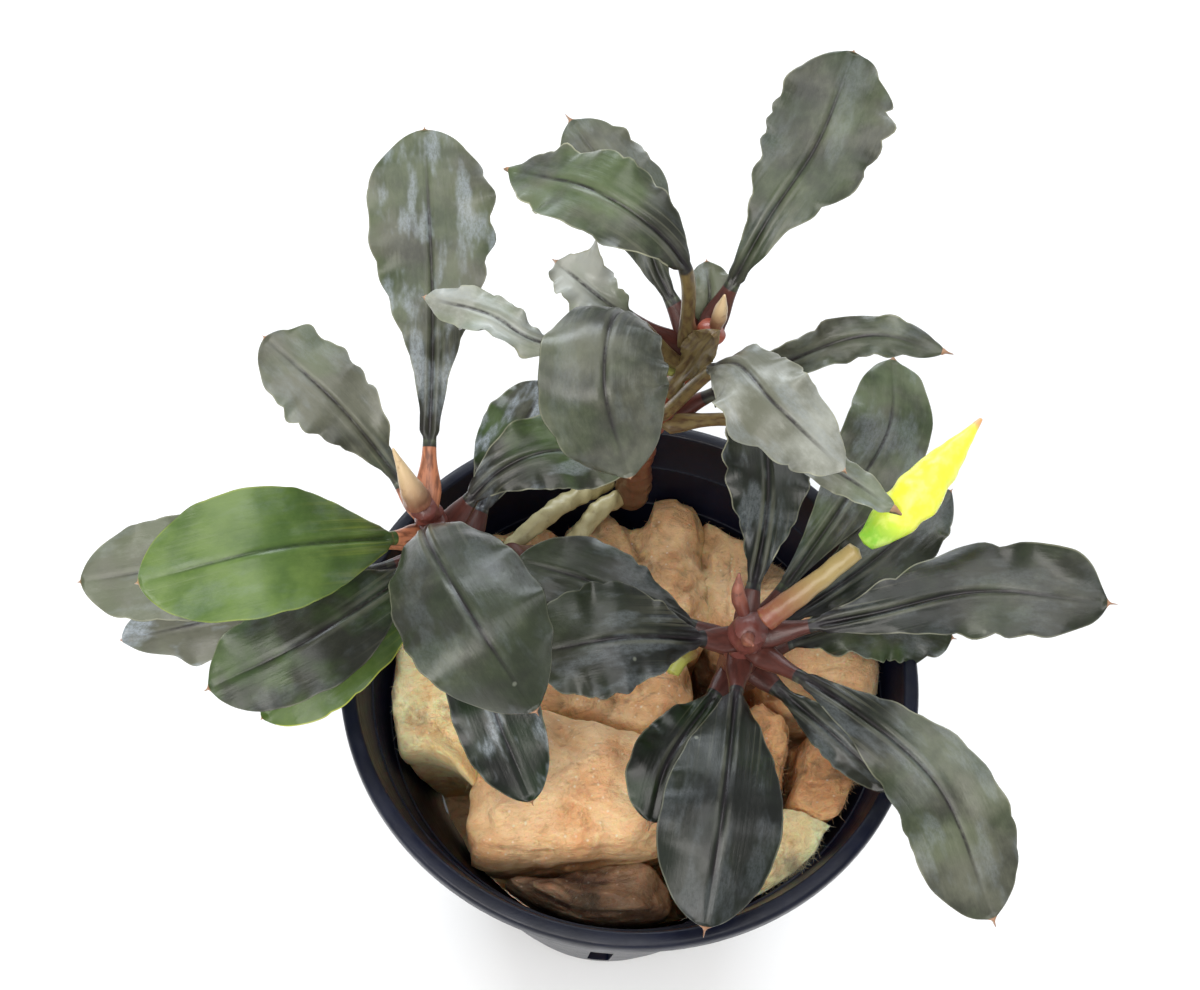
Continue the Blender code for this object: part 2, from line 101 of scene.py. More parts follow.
# Leaves
PETIOLE_ROWS = 12
BLADE_ROWS = 80
TIP_ROWS = 5
LEAF_COLUMNS = 31
MIDRIB_POINTS = 121
LEAF_THICKNESS = 0.46
PETIOLE_RADIUS = 0.62
PETIOLE_SHARE = 0.12
BLADE_ONSET = 0.05
BLADE_FOOT = 0.15
TIP_LENGTH = 0.8
TIP_RADIUS = 0.11
TIP_ROUNDNESS = 0.62
BLADE_END = 0.995
SHEATH_WIDTH = 0.6
SHEATH_LENGTH = 2.2
# Swellings along the midrib: their height, their distance from it and their width
GROOVE = (-0.22, 0, 0.2)
RIDGE = (0.13, 0.55, 0.24)
KEEL = (-0.35, 0, 0.42)
VEIN_HEIGHT = 0.05
VEIN_SPACING = 0.85
VEIN_REACH = 2.2
# How often the noise on a margin turns along the blade
LOBE_CYCLES = 8.5
NOTCH_CYCLES = 14
ROLL_CYCLES = 15
PUCKER = 0.16
VIEWER_UP = (0, -0.4, 1)

# Petiole colours, as linear red, green and blue
PINK = (0.52, 0.2, 0.1)
RED = (0.09, 0.028, 0.021)
OLIVE = (0.18, 0.13, 0.05)
LIME = (0.38, 0.4, 0.11)

# Stems and stalks
CURVE_STEPS = 24
STEM_ROWS = 80
STEM_RINGS = 12
RING_HEIGHT = 0.1

# Each lamp: its place and target in metres, its size, its watts and its colour
LAMPS = {
    "window": ((-0.12, 0.7, 0.5), (0, 0, 0.06), (0.7, 0.3), 4.5, (0.88, 0.94, 1)),
    "ceiling": ((0.05, -0.1, 0.85), (0, 0, 0.05), (0.6, 0.6), 3, (1, 1, 1)),
    "front": ((-0.24, -0.5, 0.6), (0, 0, 0.05), (0.7, 0.35), 4.4, (1, 0.97, 0.93)),
}
SURROUND = (0.93, 0.96, 1, 1)
SURROUND_STRENGTH = 0.5
FLOOR_SIDE = 3

# Each crown stem: its points from the wool to its tip, and its radius at the foot and at the tip
STEMS = {
    "left": (((-8.5, 13, 44.6), (-13.5, 9.6, 50), (-17.8, 7.2, 56), (-20, 6.3, 64)), 1.5, 1.2),
    "back": (((-1, 21.2, 44.9), (-0.8, 20.6, 56), (1.2, 19.9, 66), (4.2, 19.6, 76)), 1.7, 1.2),
    "front": (((10.8, 2, 44.6), (10.4, 0.9, 49), (9.9, -0.3, 55), (10.2, -0.9, 60)), 2, 1.5),
}


def leaf(foot, points, width, tone, painted_sheen, **more):
    """A leaf: the height of its foot on its stem, its midrib's points to the tip, its width and its look.

    Of the look, tone goes from dark to pale and above one to a painted silvery sheen, painted_sheen is
    bluish patches of painted reflection, rim a pale margin, green leafy patches, bare the stalk's colour
    all over, fade a darker foot, and mucro the length of the point.
    """
    shape = dict(foot=foot, points=points, width=width, tone=tone, painted_sheen=painted_sheen, stalk=RED, slot="leaf_dark")
    shape.update(widest=0.62, slim=1.25, taper=2.3, petiole=PETIOLE_SHARE, roll=0, twist=0, cup=0.06)
    shape.update(waves=3, wave=0.35, scallop=0.12, ruffle=0.7)
    shape.update(rim=0.3, green=0.2, bare=0, fade=0.3, mucro=1)
    shape.update(more)
    return shape


# Each leaf, by a name that starts with its stem's
LEAVES = {
    "left_leaf_1": leaf(63.4, ((-21, 23, 71), (-23.3, 37.6, 79)), 11.6, 0.8, 0.6, widest=0.74,
        waves=5, slim=2.4, stalk=PINK, scallop=0.1, ruffle=0.9, rim=0.4, green=0.3, mucro=0.3),
    "left_leaf_2": leaf(62, ((-27.6, 12.4, 69), (-35, 16.8, 73)), 7.8, 0.9, 0.2, widest=0.66,
        slim=2, stalk=PINK, scallop=0.18, ruffle=1.1, rim=0.5, green=0.3, mucro=0.3),
    "left_leaf_3": leaf(60.8, ((-30.1, -3.4, 71.5), (-41, -7.5, 71)), 10.8, 0.76, 0.1, waves=1,
        stalk=PINK, scallop=0.03, ruffle=0.2, slot="leaf_green", mucro=0.3),
    "left_leaf_4": leaf(58.8, ((-35, 1.6, 60.5), (-49.6, -2.2, 60)), 9.4, 1.02, 0.2, widest=0.72,
        stalk=PINK, scallop=0.14, ruffle=0.9, rim=0.5, mucro=0.3),
    "left_leaf_5": leaf(56.6, ((-33.6, -0.9, 56), (-47.2, -3.6, 52)), 7, 0.9, 1, roll=25, slim=1.6,
        mucro=0.3),
    "left_leaf_6": leaf(57.4, ((-27.5, -6.9, 63), (-36.2, -11.3, 60)), 9.2, 0.52, 0.1, scallop=0.05,
        green=0.8, mucro=0.6),
    "left_leaf_7": leaf(54.6, ((-25.9, -5.2, 56.5), (-32.8, -10.4, 52.5)), 7.4, 0.7, 0.1, scallop=0.05,
        slot="leaf_green", rim=1, mucro=0.3),
    "left_leaf_8": leaf(62.4, ((-18.2, -1.6, 72), (-12.9, -11.3, 76.5), (-7.9, -15.6, 71)), 11.6, 0.5,
        0.1, cup=-0.2, scallop=0.06, mucro=0.7),
    "left_leaf_9": leaf(59.6, ((-13.6, 10.4, 64.5), (-8.6, 12.2, 66), (-1.6, 12.6, 65)), 7.4, 0.62, 0.4,
        scallop=0.05, green=0.8, rim=0.7),
    "left_leaf_10": leaf(54, ((-14, 16.5, 57), (-10.4, 25.4, 58)), 7.5, 0.6, 1, scallop=0.04,
        green=0.9, rim=0.6),
    "left_leaf_11": leaf(52.6, ((-13, -6.4, 56), (-8, -15.4, 50.8)), 7.8, -0.15, 0.75, scallop=0.04,
        green=0.8, mucro=0.5),
    "back_leaf_1": leaf(75.4, ((7.8, 26, 83), (11.7, 32.2, 87), (14.2, 39.8, 90.5)), 10.4, 0.64, 0.15,
        widest=0.72, slim=2.4, ruffle=1.3, scallop=0.2, rim=0.6, green=0.3, mucro=0.3, fade=0),
    "back_leaf_2": leaf(73.6, ((-0.8, 24.5, 77), (-3.6, 29, 80.4), (-9.8, 35.8, 83.4)), 7.6, 0.78, 0.2,
        slim=2, ruffle=0.9, rim=0.4),
    "back_leaf_3": leaf(74.6, ((0.6, 17.6, 87.2), (-6.2, 20.2, 91.2), (-14.2, 26.4, 86.4)), 7.8, 0.78, 0.1,
        widest=0.5, taper=1.7, petiole=0.34, stalk=OLIVE, ruffle=1.4, scallop=0.2, rim=1, green=0.5),
    "back_leaf_4": leaf(70.6, ((-10, 14.9, 78), (-14.9, 16.7, 79), (-20.8, 19.6, 77)), 4.2, 1.45, 0.3,
        twist=50, petiole=0.42, stalk=LIME, ruffle=1.8, scallop=0.25, rim=0.7, green=0.4, mucro=0.6),
    "back_leaf_5": leaf(72.4, ((-4.9, 20.6, 77), (-9.9, 24, 78)), 4.8, 1.45, 0.3, cup=0.5, petiole=0.38,
        ruffle=1.8, scallop=0.28, rim=0.8, green=0.4, mucro=0.6),
    "back_leaf_6": leaf(71.6, ((-4, 12.6, 86), (-4.7, 4.5, 87), (-2.1, 1.1, 80)), 10.2, 0.74, 0.1,
        cup=-0.15, petiole=0.3, stalk=OLIVE, scallop=0.06, mucro=0.3),
    "back_leaf_7": leaf(65.2, ((5.2, 12.3, 81), (9, 6.2, 84), (14.8, 3.2, 80.4)), 7.4, 1.2, 0.3,
        widest=0.5, cup=-0.1, petiole=0.42, stalk=OLIVE, ruffle=1.3, scallop=0.16, rim=0.7, green=0,
        mucro=0.5),
    "back_leaf_8": leaf(63, ((12, 20.3, 72), (18.5, 21, 75.5), (24.9, 20.2, 75)), 4, 0.72, 0.15,
        waves=4, ruffle=1.5, scallop=0.2, rim=0.6),
    "back_leaf_9": leaf(71.4, ((3.8, 22.6, 76), (3.3, 25.6, 78)), 4.2, 1.1, 0.4, scallop=0.1, ruffle=0.9,
        rim=0.5, mucro=0.3),
    "back_leaf_10": leaf(68.3, ((2.9, 17.3, 74.8), (4.3, 16.9, 79.1)), 3.2, 0.5, 0.1, cup=0.4, widest=0.8,
        stalk=OLIVE, bare=0.9, mucro=0.3),
    "back_leaf_11": leaf(62.4, ((8.3, 16.5, 67), (13.6, 8.4, 74), (20.4, 4.6, 73)), 3.8, 1.1, 0.4,
        twist=40, petiole=0.45, stalk=OLIVE, scallop=0.1, ruffle=0.9, rim=0.6, green=0.3),
    "front_leaf_1": leaf(56.6, ((11.3, 12.1, 61), (10, 22.3, 65)), 8.2, 0.1, 0.25, waves=4, slim=1.8,
        scallop=0.14, ruffle=1, rim=0.9, mucro=0.4, fade=0.5),
    "front_leaf_2": leaf(55.4, ((18.2, 13, 58), (23, 22, 59.5), (23.6, 30.4, 60)), 8.6, 0.72, 0.25,
        widest=0.7, slim=2, scallop=0.04, green=0.4),
    "front_leaf_3": leaf(53.4, ((22, 9.8, 55), (29.5, 17.4, 57)), 7.4, 0.35, 0.2, slim=1.6,
        scallop=0.14, ruffle=1, rim=0.4, mucro=0.5),
    "front_leaf_4": leaf(58, ((20.7, 1, 61), (30.5, 3.2, 63), (41.2, 2.5, 64)), 8.2, 0.42, 0.1,
        waves=4, wave=0.6, widest=0.7, ruffle=1.4, scallop=0.18, rim=0.5, fade=0.9),
    "front_leaf_5": leaf(51.2, ((22.4, 5.2, 51.8), (30.4, 4.4, 51.4)), 7.6, 0.6, 0.2, slim=1.5, scallop=0.18,
        ruffle=1.3, rim=0.9, green=0.6, mucro=0.6),
    "front_leaf_6": leaf(57, ((19.8, -8.4, 60), (26.6, -14.8, 60), (32, -23.4, 54)), 9.2, 0.72, 0.2,
        widest=0.7, slim=1.6, scallop=0.1, ruffle=0.9, rim=0.4, fade=0.6),
    "front_leaf_7": leaf(51.4, ((18.2, -6.3, 51.8), (24.4, -11.4, 51)), 4.2, 0.3, 0.3),
    "front_leaf_8": leaf(56, ((8.2, -17.7, 61), (7.4, -27.1, 56.5)), 10.4, 0, 0.1, cup=-0.12, waves=1,
        scallop=0.04, fade=0.2),
    "front_leaf_9": leaf(50.6, ((4.1, -10.4, 51.5), (2.8, -15.9, 49.5)), 6.8, -0.25, 0, scallop=0.04,
        green=1),
    "front_leaf_10": leaf(57.6, ((-1, -4.2, 62.5), (-9.2, -6, 61)), 10, 0.38, 0.2, slim=1.5,
        mucro=0.5, fade=0.5),
    "front_leaf_11": leaf(54.4, ((-3.5, 4, 56.5), (-11.5, 6.1, 56)), 7.6, 0.46, 0.2, mucro=0.4),
}

# Each leaf skin: its deep, middle and pale colours, and those of its foot and its margin
LEAF_SKINS = {
    "leaf_dark": ((0.004, 0.005, 0.003), (0.026, 0.028, 0.019), (0.125, 0.128, 0.092),
        (0.009, 0.005, 0.008), (0.32, 0.32, 0.22)),
    "leaf_green": ((0.012, 0.032, 0.006), (0.055, 0.105, 0.02), (0.13, 0.2, 0.045),
        (0.025, 0.045, 0.014), (0.42, 0.46, 0.07)),
}

# Each stalk skin: its colours at the foot and at the tip, and that of its flecks
STALK_SKINS = {
    "crown_skin": ((0.09, 0.036, 0.024), (0.15, 0.042, 0.032), (0.04, 0.018, 0.014)),
    "bright_crown_skin": ((0.12, 0.06, 0.03), (0.36, 0.075, 0.04), (0.16, 0.04, 0.025)),
    "bract_skin": ((0.26, 0.1, 0.06), (0.66, 0.48, 0.27), (0.22, 0.09, 0.05)),
    "red_bract_skin": ((0.12, 0.03, 0.022), (0.3, 0.11, 0.07), (0.06, 0.018, 0.016)),
    "strand_skin": ((0.42, 0.36, 0.17), (0.5, 0.45, 0.24), (0.24, 0.17, 0.08)),
    "old_stalk_skin": ((0.22, 0.12, 0.04), (0.4, 0.42, 0.08), (0.16, 0.08, 0.03)),
    "flower_stalk_skin": ((0.22, 0.06, 0.03), (0.34, 0.25, 0.09), (0.26, 0.15, 0.055)),
}

# Each bract, stalk and bare strand: its skin, its slot, its points and its radii from foot to tip
BARS = {
    "left_sheath": ("bract_skin", "sheath_pink",
        ((-20.4, 6.1, 65.3), (-20.9, 5.9, 68), (-22.4, 7.5, 71.2)), (1.3, 1.1, 0.55, 0.1)),
    "back_sheath": ("bract_skin", "sheath_pink",
        ((4.5, 19.3, 77.1), (4.6, 19.1, 79), (4.7, 19, 81.6)), (0.6, 0.7, 0.5, 0.1)),
    "front_sheath_1": ("red_bract_skin", "crown_red",
        ((9.3, -0.2, 61.4), (8.6, 0.6, 63.2), (8.4, 1.6, 65.2)), (0.6, 0.7, 0.5, 0.1)),
    "front_sheath_2": ("red_bract_skin", "crown_red",
        ((9.9, -2.4, 61.2), (9.6, -3.6, 62.6), (9.9, -4.8, 64.2)), (0.5, 0.6, 0.4, 0.1)),
    "old_stalk": ("old_stalk_skin", "pale_strand",
        ((5.6, -0.8, 54.2), (4.4, -1.6, 54.4), (3.6, -2.8, 53.8)), (0.7, 0.9, 0.9)),
    "flower_stalk": ("flower_stalk_skin", "stalk_tan",
        ((11.2, -0.8, 61.6), (14.8, 1.3, 64.6), (18.3, 3.7, 67.2)), (1.1, 0.95, 0.85)),
    "runner_1": ("strand_skin", "pale_strand",
        ((-1.4, 21, 46.2), (-4.4, 17.8, 46.9), (-6.8, 14.6, 45.2)), (0.85, 1, 0.9)),
    "runner_2": ("strand_skin", "pale_strand",
        ((-3.4, 21.8, 46.6), (-9, 16.6, 48.1), (-13.9, 12.2, 45.6)), (0.85, 1, 0.8)),
}
SPATHE_POINTS = ((19, 4.3, 67.9), (22.4, 6.9, 71), (27.9, 13.6, 74.6))
SPATHE_RADII = (0.9, 1.8, 2.2, 1.7, 0.9, 0.15)

# Each wool chunk: the middle of its place in the pot, the height of its top, and its pull on the
# borders with its neighbours
CHUNKS = {
    "wool_back": ((1.4, 14), 44.2, 1),
    "wool_back_right": ((15, 15.5), 43.4, 1),
    "wool_left_back": ((-17, 11), 44, 1),
    "wool_left": ((-20.2, -6.6), 45.5, 1),
    "wool_front": ((-4, -12.5), 46.5, 1.5),
    "wool_middle": ((-2, 0.5), 43.6, 1),
    "wool_front_edge": ((-2, -22.6), 41.5, 0.7),
    "wool_straw": ((16.5, -17.4), 46, 0.8),
    "wool_right_middle": ((13.6, -7.4), 46, 1),
    "wool_right": ((21.4, -8.8), 45.5, 1),
    "wool_right_back": ((22, 4), 48, 1),
}

# Each wool skin: its pale and warm colours, its brown of painted shade in hollows and creases, and how
# its streaks run where that isn't as usual
WOOL_SKINS = {
    "wool_tan": ((0.88, 0.58, 0.31), (0.72, 0.41, 0.19), (0.28, 0.135, 0.066)),
    "wool_cream": ((0.88, 0.6, 0.33), (0.78, 0.43, 0.2), (0.4, 0.185, 0.078)),
    # The gold skin: its own golden colour, painted brighter and with lighter hollows as painted light
    "wool_gold": ((1, 0.82, 0.46), (1, 0.68, 0.31), (0.7, 0.38, 0.15)),
    "wool_straw_yellow": ((1, 0.8, 0.46), (0.9, 0.64, 0.3), (0.5, 0.29, 0.1), (1.3, 1.3, 0.2)),
    "wool_rust": ((0.9, 0.5, 0.23), (0.68, 0.31, 0.12), (0.2, 0.085, 0.036)),
    "wool_brown": ((0.48, 0.3, 0.18), (0.3, 0.165, 0.095), (0.11, 0.055, 0.038)),
}
CHUNK_SKINS = {"wool_left": "wool_gold", "wool_front": "wool_cream", "wool_straw": "wool_straw_yellow"}
CHUNK_SKINS.update(wool_right="wool_rust", wool_right_middle="wool_rust")
CHUNK_SKINS.update(wool_right_back="wool_cream", wool_front_edge="wool_brown")

# The places where no wool reaches the wall, as a middle and a radius: at the front left and the right
WOOL_GAPS = (((-20.3, -16.2), 5.8), ((21.3, -16.2), 2))


class Finish:
    """A material, with short ways to wire its nodes."""

    def __init__(self, name, colour, roughness, **constants):
        self.colour = colour
        self.material = bpy.data.materials.new(name)
        self.material.use_nodes = True
        self.tree = self.material.node_tree
        self.shader = self.tree.nodes["Principled BSDF"]
        self.set(self.shader.inputs["Roughness"], roughness)
        for key, value in constants.items():
            self.set(self.shader.inputs[key.replace("_", " ")], value)

    def set(self, socket, value):
        if isinstance(value, bpy.types.NodeSocket):
            self.tree.links.new(value, socket)
        elif isinstance(value, tuple) and len(value) == 3 and len(socket.default_value) == 4:
            socket.default_value = (*value, 1)
        else:
            socket.default_value = value

    def node(self, kind, inputs=None, **settings):
        made = self.tree.nodes.new(kind)
        for key, value in settings.items():
            setattr(made, key, value)
        for key, value in (inputs or {}).items():
            self.set(made.inputs[key], value)
        return made

    def mark(self, name, output="Fac"):
        return self.node("ShaderNodeAttribute", attribute_name=name).outputs[output]

    def place(self):
        return self.node("ShaderNodeTexCoord").outputs["Object"]

    def math(self, operation, a, b):
        return self.node("ShaderNodeMath", {0: a, 1: b}, operation=operation).outputs[0]

    def times(self, a, b):
        return self.math("MULTIPLY", a, b)

    def ramp(self, value, low, high, start=0, end=1):
        """A smooth step from start to end as the value goes from low to high."""
        ends = {"Value": value, "From Min": low, "From Max": high, "To Min": start, "To Max": end}
        return self.node("ShaderNodeMapRange", ends, interpolation_type="SMOOTHSTEP").outputs["Result"]

    def mix(self, share, a, b):
        made = self.node("ShaderNodeMix", data_type="RGBA")
        for socket, value in ((made.inputs[0], share), (made.inputs[6], a), (made.inputs[7], b)):
            self.set(socket, value)
        return made.outputs[2]

    def paint(self, colour, share, *more):
        """Lays a colour over what is there, by the product of the shares."""
        for other in more:
            share = self.times(share, other)
        self.colour = self.mix(share, self.colour, colour)

    def noise(self, vector, scale, detail=4, roughness=0.55, distortion=0):
        inputs = dict(Vector=vector, Scale=scale, Detail=detail, Roughness=roughness, Distortion=distortion)
        return self.node("ShaderNodeTexNoise", inputs).outputs[0]

    def grain(self, vector, stretch, *settings):
        """Noise drawn out along the vector's axes."""
        drawn = self.node("ShaderNodeMapping", {"Vector": vector, "Scale": stretch}).outputs["Vector"]
        return self.noise(drawn, *settings)

    def specks(self, vector, scale, size, drawn):
        """Small round spots in the few cells that a draw picks."""
        cell = self.node("ShaderNodeTexVoronoi", {"Vector": vector, "Scale": scale}, feature="F1")
        draw = self.node("ShaderNodeSeparateColor", {0: cell.outputs["Color"]}).outputs[0]
        return self.times(self.ramp(cell.outputs["Distance"], *size), self.ramp(draw, *drawn))

    def bump(self, height, distance, strength, normal=None):
        inputs = {"Height": height, "Distance": distance, "Strength": strength}
        if normal is not None:
            inputs["Normal"] = normal
        return self.node("ShaderNodeBump", inputs).outputs["Normal"]

    def finish(self, normal=None, roughness=None):
        self.set(self.shader.inputs["Base Color"], self.colour)
        if normal is not None:
            self.set(self.shader.inputs["Normal"], normal)
        if roughness is not None:
            self.set(self.shader.inputs["Roughness"], roughness)
        return self.material


def unit(vector):
    return vector / np.linalg.norm(vector, axis=-1, keepdims=True)


def lighter(colour, times):
    return tuple(min(1, times * channel) for channel in colour)


def link(name, data):
    """A new object in the scene."""
    made = bpy.data.objects.new(name, data)
    bpy.context.scene.collection.objects.link(made)
    return made


def meshed(name, form):
    """A new object in the scene with a bmesh's form, which is freed."""
    mesh = bpy.data.meshes.new(name)
    form.to_mesh(mesh)
    form.free()
    return link(name, mesh)


def add_piece(name, points, faces, material, replaced, marks):
    """A mesh that rides on the root body, from points in millimetres, with named values at its points."""
    mesh = bpy.data.meshes.new(name)
    mesh.from_pydata((np.asarray(points) * MM).tolist(), [], faces)
    for key, values in marks.items():
        values = np.asarray(values, np.float32)
        kind, field = ("FLOAT", "value") if values.ndim == 1 else ("FLOAT_VECTOR", "vector")
        mesh.attributes.new(key, kind, "POINT").data.foreach_set(field, values.ravel())
    mesh.shade_smooth()
    mesh.materials.append(material)
    piece = link(name, mesh)
    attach(piece, "root")
    if replaced:
        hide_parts(*replaced)


def smooth_curve(points, count):
    """Evenly spaced points along a Catmull-Rom curve through the given points."""
    knots = np.asarray(points, float)
    knots = np.vstack([2 * knots[0] - knots[1], knots, 2 * knots[-1] - knots[-2]])
    fine = []
    for a, b, c, d in zip(knots, knots[1:], knots[2:], knots[3:]):
        for t in np.linspace(0, 1, CURVE_STEPS, endpoint=False):
            cubic = -a + 3 * b - 3 * c + d
            square = 2 * a - 5 * b + 4 * c - d
            fine.append(0.5 * (2 * b + (c - a) * t + square * t**2 + cubic * t**3))
    fine = np.array([*fine, knots[-2]])
    run = np.concatenate([[0], np.cumsum(np.linalg.norm(np.diff(fine, axis=0), axis=1))])
    return sample(fine, run, np.linspace(0, run[-1], count))


def sample(rows, known, wanted):
    """Rows of numbers read in between, at other places along them."""
    return np.stack([np.interp(wanted, known, column) for column in rows.T], 1)


def carried_sides(line, face):
    """The directions along a line, and at each point a side square to it that turns as little as it can."""
    along = unit(np.gradient(line, axis=0))
    middle = len(line) * 3 // 5
    sides = np.zeros_like(line)
    sides[middle] = unit(np.cross(along[middle], np.asarray(face, float)))
    for step, stop in ((1, len(line)), (-1, -1)):
        for i in range(middle + step, stop, step):
            carried = sides[i - step] - along[i] * (sides[i - step] @ along[i])
            sides[i] = unit(carried)
    return along, sides


def skin_faces(rows, count):
    """Faces of a closed body of rings, with a fan to a point at each end; points run start, rings, end."""
    k = np.arange(count)
    turn = (k + 1) % count
    faces = [(0, 1 + int(b), 1 + int(a)) for a, b in zip(k, turn)]
    for r in range(rows - 1):
        low = 1 + r * count
        quads = np.stack([low + k, low + turn, low + count + turn, low + count + k], 1)
        faces += quads.tolist()
    low = 1 + (rows - 1) * count
    faces += [(low + int(a), low + int(b), 1 + rows * count) for a, b in zip(k, turn)]
    return faces


def with_ends(values, start, end):
    """A grid of values on rings as one list, between the values of the two end points."""
    flat = values.reshape(-1, *values.shape[2:])
    return np.concatenate([np.asarray(start)[None], flat, np.asarray(end)[None]])


def stem_at(stem, height):
    """The middle and the radius of a crown stem at a height."""
    points, foot_radius, tip_radius = STEMS[stem]
    line = smooth_curve(points, STEM_ROWS)
    share = (height - line[0, 2]) / (line[-1, 2] - line[0, 2])
    middle = np.array([np.interp(height, line[:, 2], line[:, axis]) for axis in range(3)])
    return middle, foot_radius + (tip_radius - foot_radius) * share


def midrib(stem, shape, count):
    """The midrib from the foot beside the stem to the tip, and the middle of the stem there."""
    middle, radius = stem_at(stem, shape["foot"])
    away = np.asarray(shape["points"][0]) - middle
    axis = unit(np.subtract(stem_at(stem, shape["foot"] + 0.5)[0], middle))
    away = unit(away - axis * (away @ axis))
    foot = middle + away * (radius + GAP + PETIOLE_RADIUS * 0.4)
    return smooth_curve((foot, *shape["points"]), count), middle


def blade_width(u, widest, slim, taper):
    """The blade's width along it, as a share of its greatest: a narrow foot, a long rise and a round tip."""
    onset = np.clip(u / BLADE_ONSET, 0, 1)
    rise = np.sin(0.5 * np.pi * np.clip(u / widest, 0, 1)) ** slim
    fall = (1 - np.clip((u - widest) / (1 - widest), 0, 1) ** taper) ** TIP_ROUNDNESS
    return np.where(u > widest, fall, onset * (BLADE_FOOT + (1 - BLADE_FOOT) * rise))


def margin_noise(u, cycles, seed):
    """Smooth noise along a blade, different on its left and right margins."""
    sides = [[noise.noise(Vector((float(x) * cycles, seed, side))) for x in u] for side in (0, 5.7)]
    return np.array(sides).T


def swell(off, height, middle, width):
    """A soft swelling, or a groove where the height is negative, round a place."""
    return height * np.exp(-(((off - middle) / width) ** 2))


def leaf_stations(shape, length):
    """The places of a leaf's rings, as shares of its length: the petiole, the blade and the point."""
    start = shape["petiole"]
    petiole = np.linspace(0, start, PETIOLE_ROWS, endpoint=False)
    blade = 0.5 * (1 - np.cos(np.pi * np.linspace(0, 1, BLADE_ROWS) ** 0.92))
    rest = (1 - BLADE_END) * (1 - start)
    tip = 1 - rest + np.linspace(0.2, 1, TIP_ROWS) * (rest + shape["mucro"] * TIP_LENGTH / length)
    return np.concatenate([petiole, start + (1 - start) * BLADE_END * blade, tip])


def leaf_course(stem, shape):
    """A leaf's length, and each ring's share of the leaf and of the blade, its middle and its directions."""
    line, heart = midrib(stem, shape, MIDRIB_POINTS)
    along, sides = carried_sides(line, VIEWER_UP)
    length = np.linalg.norm(np.diff(line, axis=0), axis=1).sum()
    share = leaf_stations(shape, length)
    at = np.clip(share, 0, 1) * (MIDRIB_POINTS - 1)
    centre, t, s = (sample(rows, np.arange(MIDRIB_POINTS), at) for rows in (line, along, sides))
    centre = centre + t * (np.clip(share - 1, 0, 1) * length)[:, None]
    u = np.clip((share - shape["petiole"]) / (1 - shape["petiole"]), 0, 1)
    turn = np.radians(shape["roll"] + shape["twist"] * (u - 0.6))[:, None]
    s = unit(s - t * np.sum(s * t, 1, keepdims=True))
    up = np.cross(s, t)
    s, up = s * np.cos(turn) + up * np.sin(turn), up * np.cos(turn) - s * np.sin(turn)
    # One more ring, at the heart of the stem
    centre = np.vstack([heart, centre])
    t, s, up = (np.vstack([rows[:1], rows]) for rows in (t, s, up))
    return length, np.concatenate([[0], share]), np.concatenate([[0], u]), centre, t, s, up


